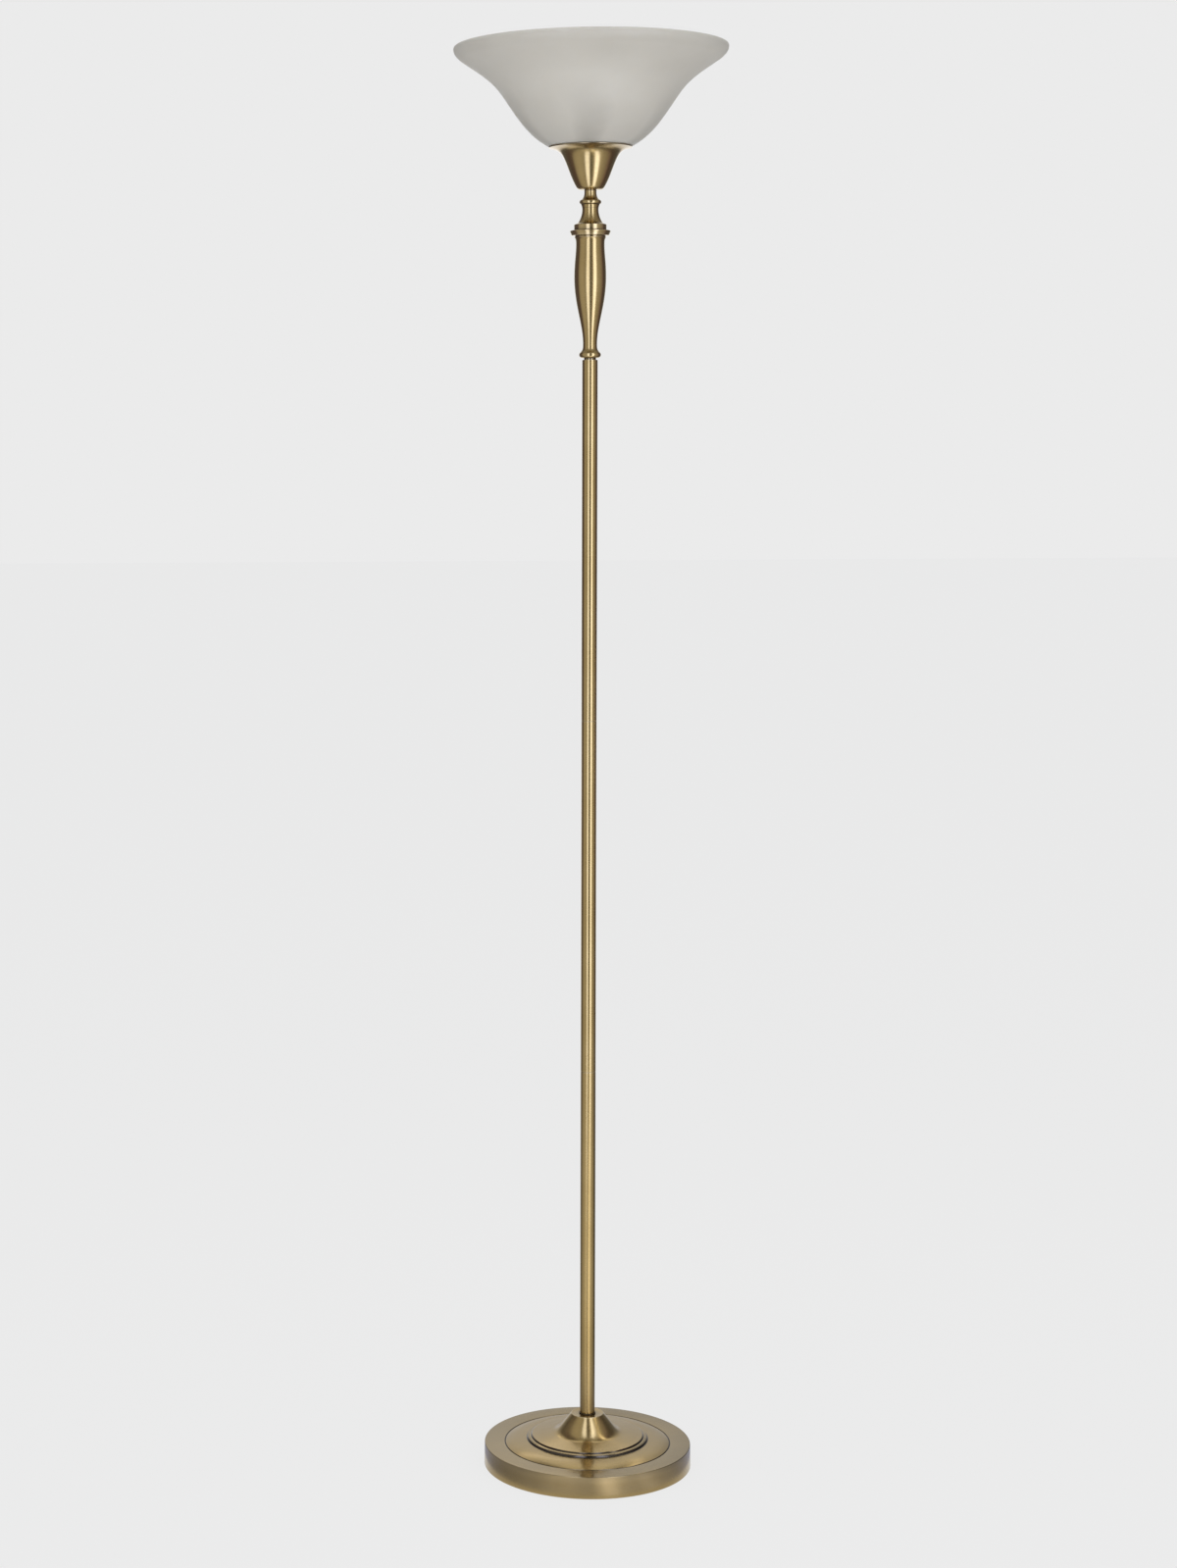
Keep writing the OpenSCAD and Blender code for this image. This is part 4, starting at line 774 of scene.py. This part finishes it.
def make_shade():
    """Bowl that flares twice, up to a round rim."""
    flare = (SHADE_R - 13.5, SHADE_TOP - 17.8)
    middle = (108.4, SEAT_Z + 62.1)
    outside = path(
        curve((SEAT_R, SEAT_Z), 28, middle, 54.6, count=48),
        curve(middle, 54.6, flare, 33.8, count=40),
        curve(flare, 33.8, (SHADE_R, SHADE_TOP - GLASS_T / 2), 90, count=30))
    inside = inset(outside, GLASS_T)
    rim = arc((SHADE_R - GLASS_T / 2, SHADE_TOP - GLASS_T / 2), GLASS_T / 2, 8, 172, 20)
    profile = path([HOLE_R, seat_at(HOLE_R)], outside, rim, inside[::-1],
                   [HOLE_R, seat_at(HOLE_R) + GLASS_T])
    turned("glass_shade", softened(profile, 1.2, limit=20), "satin_glass", body="shade", around=256)


# Lampholder

HOLDER_Z, HOLDER_R, CAP_TOP, SKIRT_H, SKIRT_R, SKIRT_IR = 1616.9, 19.0, 1640.9, 31.0, 20.0, 15.2


def make_holder_cap():
    """Domed cap over the lampholder's insulator."""
    insulator_z, entry_z, inner, entry_r, spigot_r = 1633.5, 1622.9, 17.0, 5.05, 8.5
    dome = curve((9, HOLDER_Z + 4), 30, (HOLDER_R, HOLDER_Z + 15), 88, 0.4, 0.4, 24)
    hollow = curve((8, entry_z + 0.6), 30, (inner - 1.2, insulator_z - 1.2), 70, 0.4, 0.4, 16)
    cap = path([entry_r, HOLDER_Z], [spigot_r, HOLDER_Z], [spigot_r, HOLDER_Z + 3], dome,
               [HOLDER_R, CAP_TOP], [inner, CAP_TOP], [inner, insulator_z], [inner - 1, insulator_z - 1],
               hollow[::-1], [entry_r, entry_z])
    turned("holder_cap", softened(cap, 0.5), "white_moulding", around=128)


def make_holder_skirt():
    """Sleeve with two grip grooves."""
    depth, width, z = 0.5, 1.7, CAP_TOP
    grooves = []
    for low in (z + 7, z + 19):
        grooves += [[SKIRT_R, low], [SKIRT_R - depth, low + depth],
                    [SKIRT_R - depth, low + width - depth], [SKIRT_R, low + width]]
    skirt = path([SKIRT_IR, z], [SKIRT_R - 0.4, z], [SKIRT_R, z + 0.4], grooves, [SKIRT_R, z + SKIRT_H - 1],
                 [SKIRT_R - 1, z + SKIRT_H], [SKIRT_IR + 1.2, z + SKIRT_H], [SKIRT_IR, z + SKIRT_H - 1.6])
    turned("holder_skirt", softened(skirt, 0.35), "white_moulding", around=128)


# Lamp

LAMP_Z, LAMP_NECK_Z, LAMP_MID, LAMP_TOP, LAMP_R = 1646.0, 1670.6, 1724.0, 1754.0, 30.0
SHELL_Z, SHELL_R, SHELL_BORE_R, NECK_R, THREAD_PITCH = LAMP_Z + 5.6, 13.15, 10.95, 14, 3.62


def thread(depth):
    """Radii with a right-hand thread: r - depth + depth cos(2 pi z / pitch - angle) where r is largest."""
    def bulge(r, z, angle):
        crest = np.clip((r - (r.max() - 1e-3)) * 1e6, 0, 1)
        return r - crest * depth * (1 - np.cos(2 * np.pi * z / THREAD_PITCH - angle))
    return bulge


def make_lamp_cap():
    """Threaded shell, black insulator and centre contact."""
    rows = 90
    height = np.linspace(SHELL_Z + 1, LAMP_NECK_Z - 2.6, rows)
    wall = np.stack([np.full(rows, SHELL_R), height], 1)
    cap = path([SHELL_BORE_R, SHELL_Z], [SHELL_R - 1, SHELL_Z], wall, [SHELL_R - 0.05, LAMP_NECK_Z - 1.2],
               [SHELL_R - 0.001, LAMP_NECK_Z], [SHELL_BORE_R, LAMP_NECK_Z - 1.6])
    turned("lamp_cap", cap, "lamp_aluminium", body="lamp", around=128, bulge=thread(0.4))
    tip_z = LAMP_Z + 1.6
    insulator = path([0, tip_z], [5, tip_z], curve((5, tip_z), 12, (11.75, tip_z + 4), 68, 0.3, 0.3, 14),
                     [0, tip_z + 4])
    turned("lamp_insulator", insulator, "black_glass", body="lamp", around=96)
    tip = path([0, LAMP_Z], curve((1.5, LAMP_Z), 0, (4.4, tip_z), 80, 0.4, 0.3, 14), [0, tip_z])
    turned("lamp_contact", tip, "tinned_contact", body="lamp", around=64)


def make_lamp_globe():
    """Hollow globe that runs in to the neck from an angle below its middle."""
    lower, wall = -32, 0.8
    shoulder = arc((0, LAMP_MID), LAMP_R, lower, lower, 0)[0]
    line = path(curve((NECK_R, LAMP_NECK_Z), 90, shoulder, 58, 0.42, 0.3, 30),
                arc((0, LAMP_MID), LAMP_R, lower, 90, 52))
    line[-1] = [0, LAMP_TOP]
    inner = inset(line, wall)
    inner[-1] = [0, LAMP_TOP - wall]
    globe = path(inner[::-1], [NECK_R, LAMP_NECK_Z], line[1:])
    turned("lamp_globe", globe, "opal_glass", body="lamp", around=160)


LEAD_Z = SHELL_Z + 36


def make_lamp_stem():
    """Glass stem: a wide foot, a slim post and a round end."""
    z, post_r = SHELL_Z, 2.2
    stem = path([0, z], [9, z], [8, z + 6], curve((6, z + 9), 110, (post_r, LEAD_Z), 90, 0.4, 0.4, 20),
                [post_r, z + 42], arc((0, z + 41), 2.0, 20, 90, 8))
    stem[-1] = [0, z + 43]
    turned("lamp_stem", softened(stem, 0.6, closed=False), "clear_glass", body="lamp", around=64)


def make_lamp_filament():
    """Two leads and a coil of radius c: (x, c cos a, z + c sin a), where x runs across, a is the turned
    angle and z rises twice between the leads."""
    top, half, turns, coil_r, crest, wire_r = LAMP_MID + 4, 11.0, 60, 0.32, 1.4, 0.16
    share = np.linspace(0, 1, 400)
    angle = 2 * np.pi * turns * share
    coil = np.stack([-half + 2 * half * share, coil_r * np.cos(angle),
                     top + crest * np.sin(4 * np.pi * share) ** 2 + coil_r * np.sin(angle)], 1)
    left = np.array([[-2.6, 0, LEAD_Z], [-4, 0, LEAD_Z + 3], [-half, 0, top - 1]])
    wire = np.concatenate([left, coil, (left * [-1, 1, 1])[::-1]])
    add_piece("lamp_filament", swept_mesh("lamp_filament", wire, wire_r, 8), "lamp", "lamp_wire")


make_cover()
make_hub()
make_felt()
make_inlet()
make_foot_washer()
make_tubes()
make_spindle()
make_cup()
make_gasket()
make_shade()
make_holder_cap()
make_holder_skirt()
make_lamp_cap()
make_lamp_globe()
make_lamp_stem()
make_lamp_filament()


# Studio

BACKGROUND, ROOM_LIGHT = (0.831, 0.831, 0.831, 1), (0.56, 0.57, 0.58, 1)
FLOOR_DROP = -0.0003


def stage_object(name, mesh, material):
    """An object of the studio, which isn't part of the lamp."""
    piece = bpy.data.objects.new(name, mesh)
    bpy.context.scene.collection.objects.link(piece)
    mesh.materials.append(material)
    return piece


def only_reflected(piece):
    """Leaves a glowing piece to glossy rays alone, so that it lights nothing and hides nothing."""
    piece.visible_camera = piece.visible_diffuse = piece.visible_transmission = False
    piece.visible_shadow = piece.visible_volume_scatter = False


def seen_background(tree):
    """Largest of Is Camera Ray, Is Glossy Ray and Is Transmission Ray."""
    light_path = tree.nodes.new("ShaderNodeLightPath")
    largest = light_path.outputs["Is Camera Ray"]
    for ray in ("Is Glossy Ray", "Is Transmission Ray"):
        node = tree.nodes.new("ShaderNodeMath")
        node.operation = "MAXIMUM"
        tree.links.new(largest, node.inputs[0])
        tree.links.new(light_path.outputs[ray], node.inputs[1])
        largest = node.outputs[0]
    return largest


def make_world():
    """The picture's plain tone where it is seen, and a softer light for everything else."""
    world = bpy.data.worlds.new("studio")
    bpy.context.scene.world = world
    world.use_nodes = True
    tree = world.node_tree
    mix = tree.nodes.new("ShaderNodeMix")
    mix.data_type = "RGBA"
    mix.inputs[6].default_value = ROOM_LIGHT
    mix.inputs[7].default_value = BACKGROUND
    tree.links.new(seen_background(tree), mix.inputs[0])
    tree.links.new(mix.outputs[2], tree.nodes["Background"].inputs["Color"])


def make_floor():
    """Pale floor that is lit by the lamps, and that the camera and the metal see at the background's tone.
    From below it isn't seen."""
    reach, seen_share = 30, 0.92
    look = Finish("pale_floor")
    look.set(Base_Color=(0.80, 0.80, 0.80), Roughness=0.9, Specular_IOR_Level=0.1)
    glow = look.add("Emission", {"Color": (0.846, 0.846, 0.846)})
    share = look.math("MULTIPLY", seen_background(look.tree), seen_share)
    top = look.add("MixShader", {0: share, 1: look.shader.outputs[0], 2: glow.outputs[0]})
    clear = look.add("BsdfTransparent")
    below = look.add("NewGeometry").outputs["Backfacing"]
    look.surface(look.add("MixShader", {0: below, 1: top.outputs[0], 2: clear.outputs[0]}))
    corners = [(x * reach, y * reach, FLOOR_DROP) for x, y in ((-1, -1), (1, -1), (1, 1), (-1, 1))]
    mesh = bpy.data.meshes.new("floor")
    mesh.from_pydata(corners, [], [(0, 1, 2, 3)])
    stage_object("floor", mesh, look.material)


# Glow of the studio's walls against the direction from the lamp's axis: degrees from the camera, which are
# below 0 at the left, a level and a tint where it isn't even. HIGH_WALLS holds high up, LOW_WALLS near the
# floor and NEAR_FLOOR on the floor beside the base.
COOL = np.array([0.92, 1.03, 1.42])
CALM = np.array([1.00, 1.05, 1.34])
EVEN = np.array([1.00, 1.00, 1.00])
DUSK = np.array([1.12, 0.93, 1.10])
HIGH_WALLS = [
    (-180, 1.20), (-152, 1.30), (-140, 1.00), (-130, 0.14, DUSK), (-96, 0.18, DUSK), (-84, 0.66),
    (-60, 0.78), (-38, 0.66), (-31, 0.50), (-25, 2.7, COOL), (-9, 2.8, COOL), (-3, 0.50), (2, 0.15),
    (8, 0.17), (15, 0.52), (21, 0.80), (26, 3.4, COOL), (43, 3.4, COOL), (49, 0.85), (60, 0.72),
    (80, 0.55), (98, 0.34, DUSK), (108, 0.14, DUSK), (134, 0.14, DUSK), (144, 1.00), (180, 1.20)]
LOW_WALLS = [
    (-180, 0.66), (-173, 0.66), (-164, 0.68), (-152, 0.72), (-140, 0.30), (-124, 0.16), (-95, 0.50),
    (-66, 0.76), (-44, 0.95), (-32, 1.30), (-18, 1.05), (-8, 0.84), (2, 0.95), (14, 2.3), (26, 2.2),
    (38, 1.0), (54, 0.86), (74, 0.68), (92, 0.44), (113, 0.13), (146, 0.20), (162, 0.56), (173, 0.64),
    (180, 0.66)]
NEAR_FLOOR = [
    (-180, 0.50), (-100, 0.42, CALM), (-72, 0.35, CALM), (-52, 0.40, CALM), (-34, 0.50, CALM),
    (-22, 0.68, CALM), (-12, 0.79, CALM), (4, 0.60, CALM), (9, 0.86, CALM), (13, 1.22, CALM),
    (18, 1.10, CALM), (23, 0.74, CALM), (34, 0.66, CALM), (44, 0.88, CALM), (56, 0.58, CALM),
    (72, 0.42, CALM), (100, 0.42, CALM), (180, 0.50)]
CAMERA_TURN = 3.8


def glow_ramp(look, degrees, table):
    """Colour for each direction, from a table of directions, levels and tints."""
    ramp = look.add("ValToRGB")
    look.feed(ramp.inputs[0], look.remap(degrees, -180, 180))
    stops = ramp.color_ramp.elements
    for place, (direction, level, *tint) in enumerate(table):
        spot = (direction + 180) / 360
        stop = stops[place] if place < 2 else stops.new(spot)
        stop.position = spot
        stop.color = (*(level * (tint[0] if tint else EVEN)), 1)
    return ramp.outputs[0]


def wall_tone(look):
    """Colour of the walls: each table follows the direction. They blend outwards on the floor and up the
    walls, and sooner in front, where the pole reflects them. Behind the lamp a dark stretch stands on each
    side, and high up all fades."""
    near_start, near_end, fade_start, fade_end = 0.20, 0.40, 1.85, 2.35
    dark, faded = (0.16, 0.16, 0.16), (0.46, 0.46, 0.46)
    parts = look.add("SeparateXYZ", {0: look.place})
    height = parts.outputs[2]
    degrees = look.math("ADD", look.math("MULTIPLY", look.turn(parts), 180 / math.pi), CAMERA_TURN)
    degrees = look.math("WRAP", degrees, 180.0, -180.0)
    far = look.remap(look.vector("LENGTH", look.across()), near_start, near_end)
    low = look.blend(far, glow_ramp(look, degrees, NEAR_FLOOR), glow_ramp(look, degrees, LOW_WALLS))
    turned_away = look.math("ABSOLUTE", degrees)
    ahead = look.math("MULTIPLY", look.remap(turned_away, 60, 90, 1, 0),
                      look.remap(height, 0.17, 0.42))
    high = look.math("MAXIMUM", ahead, look.remap(height, 0.18, 0.85))
    tone = look.blend(high, low, glow_ramp(look, degrees, HIGH_WALLS))
    behind = look.math("MULTIPLY", look.remap(turned_away, 122, 136),
                       look.remap(turned_away, 152, 162, 1, 0))
    behind = look.math("MULTIPLY", behind, look.remap(height, 0.75, 1.0))
    tone = look.blend(behind, tone, dark)
    return look.blend(look.remap(height, fade_start, fade_end), tone, faded)


def make_walls():
    """Studio walls and floor that only the metal and the glass reflect: a cylinder round the lamp with a
    ceiling, and a flat ring inside it at the floor."""
    radius, inner, top, sides = 0.75, 0.145, 3.2, 180
    turn = 2 * np.pi * np.arange(sides) / sides
    unit = np.stack([np.sin(turn), -np.cos(turn)], 1)
    rings = [(inner, 0.0006), (radius, 0.0006), (radius, 0.0016), (radius, top)]
    points = np.concatenate([np.insert(unit * r, 2, z, 1) for r, z in rings])
    a = np.arange(sides)
    b = (a + 1) % sides
    floor = np.stack([a, b, b + sides, a + sides], 1)
    wall = floor + 2 * sides
    ceiling = [(a + 3 * sides).tolist()]
    mesh = bpy.data.meshes.new("walls")
    mesh.from_pydata(points, [], floor.tolist() + wall.tolist() + ceiling)
    look = Finish("studio_walls")
    look.surface(look.add("Emission", {"Color": wall_tone(look), "Strength": 1.0}))
    look.material.cycles.emission_sampling = "NONE"
    only_reflected(stage_object("walls", mesh, look.material))


# Soft boxes that hang over the base and shine only down on it: degrees from the camera, height, level
OVERHEAD = {
    "right_box": [(38, 0.86, 0.0), (58, 0.86, 1.6), (74, 0.92, 3.0), (90, 1.05, 3.2), (112, 1.12, 2.6),
                  (132, 1.08, 1.9), (150, 0.74, 1.6), (160, 0.58, 1.3), (170, 0.48, 1.0), (182, 0.46, 0.0)],
    "left_box": [(-186, 0.46, 0.0), (-176, 0.46, 1.6), (-162, 0.50, 1.8), (-150, 0.52, 1.6),
                 (-138, 0.54, 0.0)]}


def box_finish(name):
    """Glow at the level of each point, seen from below only and clear where the level is low."""
    look = Finish(name)
    level = look.value_of("level")
    above = look.add("NewGeometry").outputs["Backfacing"]
    seen = look.math("MULTIPLY", look.remap(level, 0, 1.2), look.math("SUBTRACT", 1.0, above))
    clear = look.add("BsdfTransparent")
    glow = look.add("Emission", {"Color": (1.0, 0.97, 0.92), "Strength": level})
    look.surface(look.add("MixShader", {0: seen, 1: clear.outputs[0], 2: glow.outputs[0]}))
    look.material.cycles.emission_sampling = "NONE"
    return look.material


def make_overhead():
    """Each box is a level strip: row k lies at radius R_k from the axis, at the height of its direction, and
    its glow is share_k of the level, so that its long edges are soft."""
    radii, shares, count = (0.50, 0.58, 0.70, 0.745), (0.0, 1.0, 1.0, 0.0), 60
    for name, table in OVERHEAD.items():
        direction, height, level = np.array(table, float).T
        fine = np.linspace(direction[0], direction[-1], count)
        turn = np.radians(fine - CAMERA_TURN)
        rise = np.interp(fine, direction, height)
        unit = np.stack([np.sin(turn), -np.cos(turn)], 1)
        points = np.concatenate([np.insert(unit * r, 2, rise, 1) for r in radii])
        glow = np.concatenate([np.interp(fine, direction, level) * share for share in shares])
        a = (np.arange(len(radii) - 1)[:, None] * count + np.arange(count - 1)).ravel()
        mesh = bpy.data.meshes.new(name)
        mesh.from_pydata(points, [], np.stack([a + 1, a + count + 1, a + count, a], 1).tolist())
        mesh.attributes.new("level", "FLOAT", "POINT").data.foreach_set("value", glow.astype(np.float32))
        only_reflected(stage_object(name, mesh, box_finish(name)))


def make_lamps():
    """Large soft boxes that light the glass and the floor; the metal sees the walls' own soft boxes."""
    aim = Vector((0, 0, 1.2))
    boxes = [("key", (-1.2, -2.5, 2.2), 1.6, 25), ("fill", (1.4, -2.3, 1.8), 1.6, 21),
             ("top", (0.2, 0.3, 3.6), 1.8, 8)]
    for name, place, size, power in boxes:
        data = bpy.data.lights.new(name, "AREA")
        data.shape, data.size, data.energy = "SQUARE", size, power
        lamp = bpy.data.objects.new(name, data)
        lamp.location = place
        lamp.rotation_euler = (Vector(place) - aim).to_track_quat("Z", "Y").to_euler()
        lamp.visible_camera = lamp.visible_glossy = False
        bpy.context.scene.collection.objects.link(lamp)


make_world()
make_floor()
make_walls()
make_overhead()
make_lamps()
bpy.context.scene.view_settings.view_transform = "Standard"
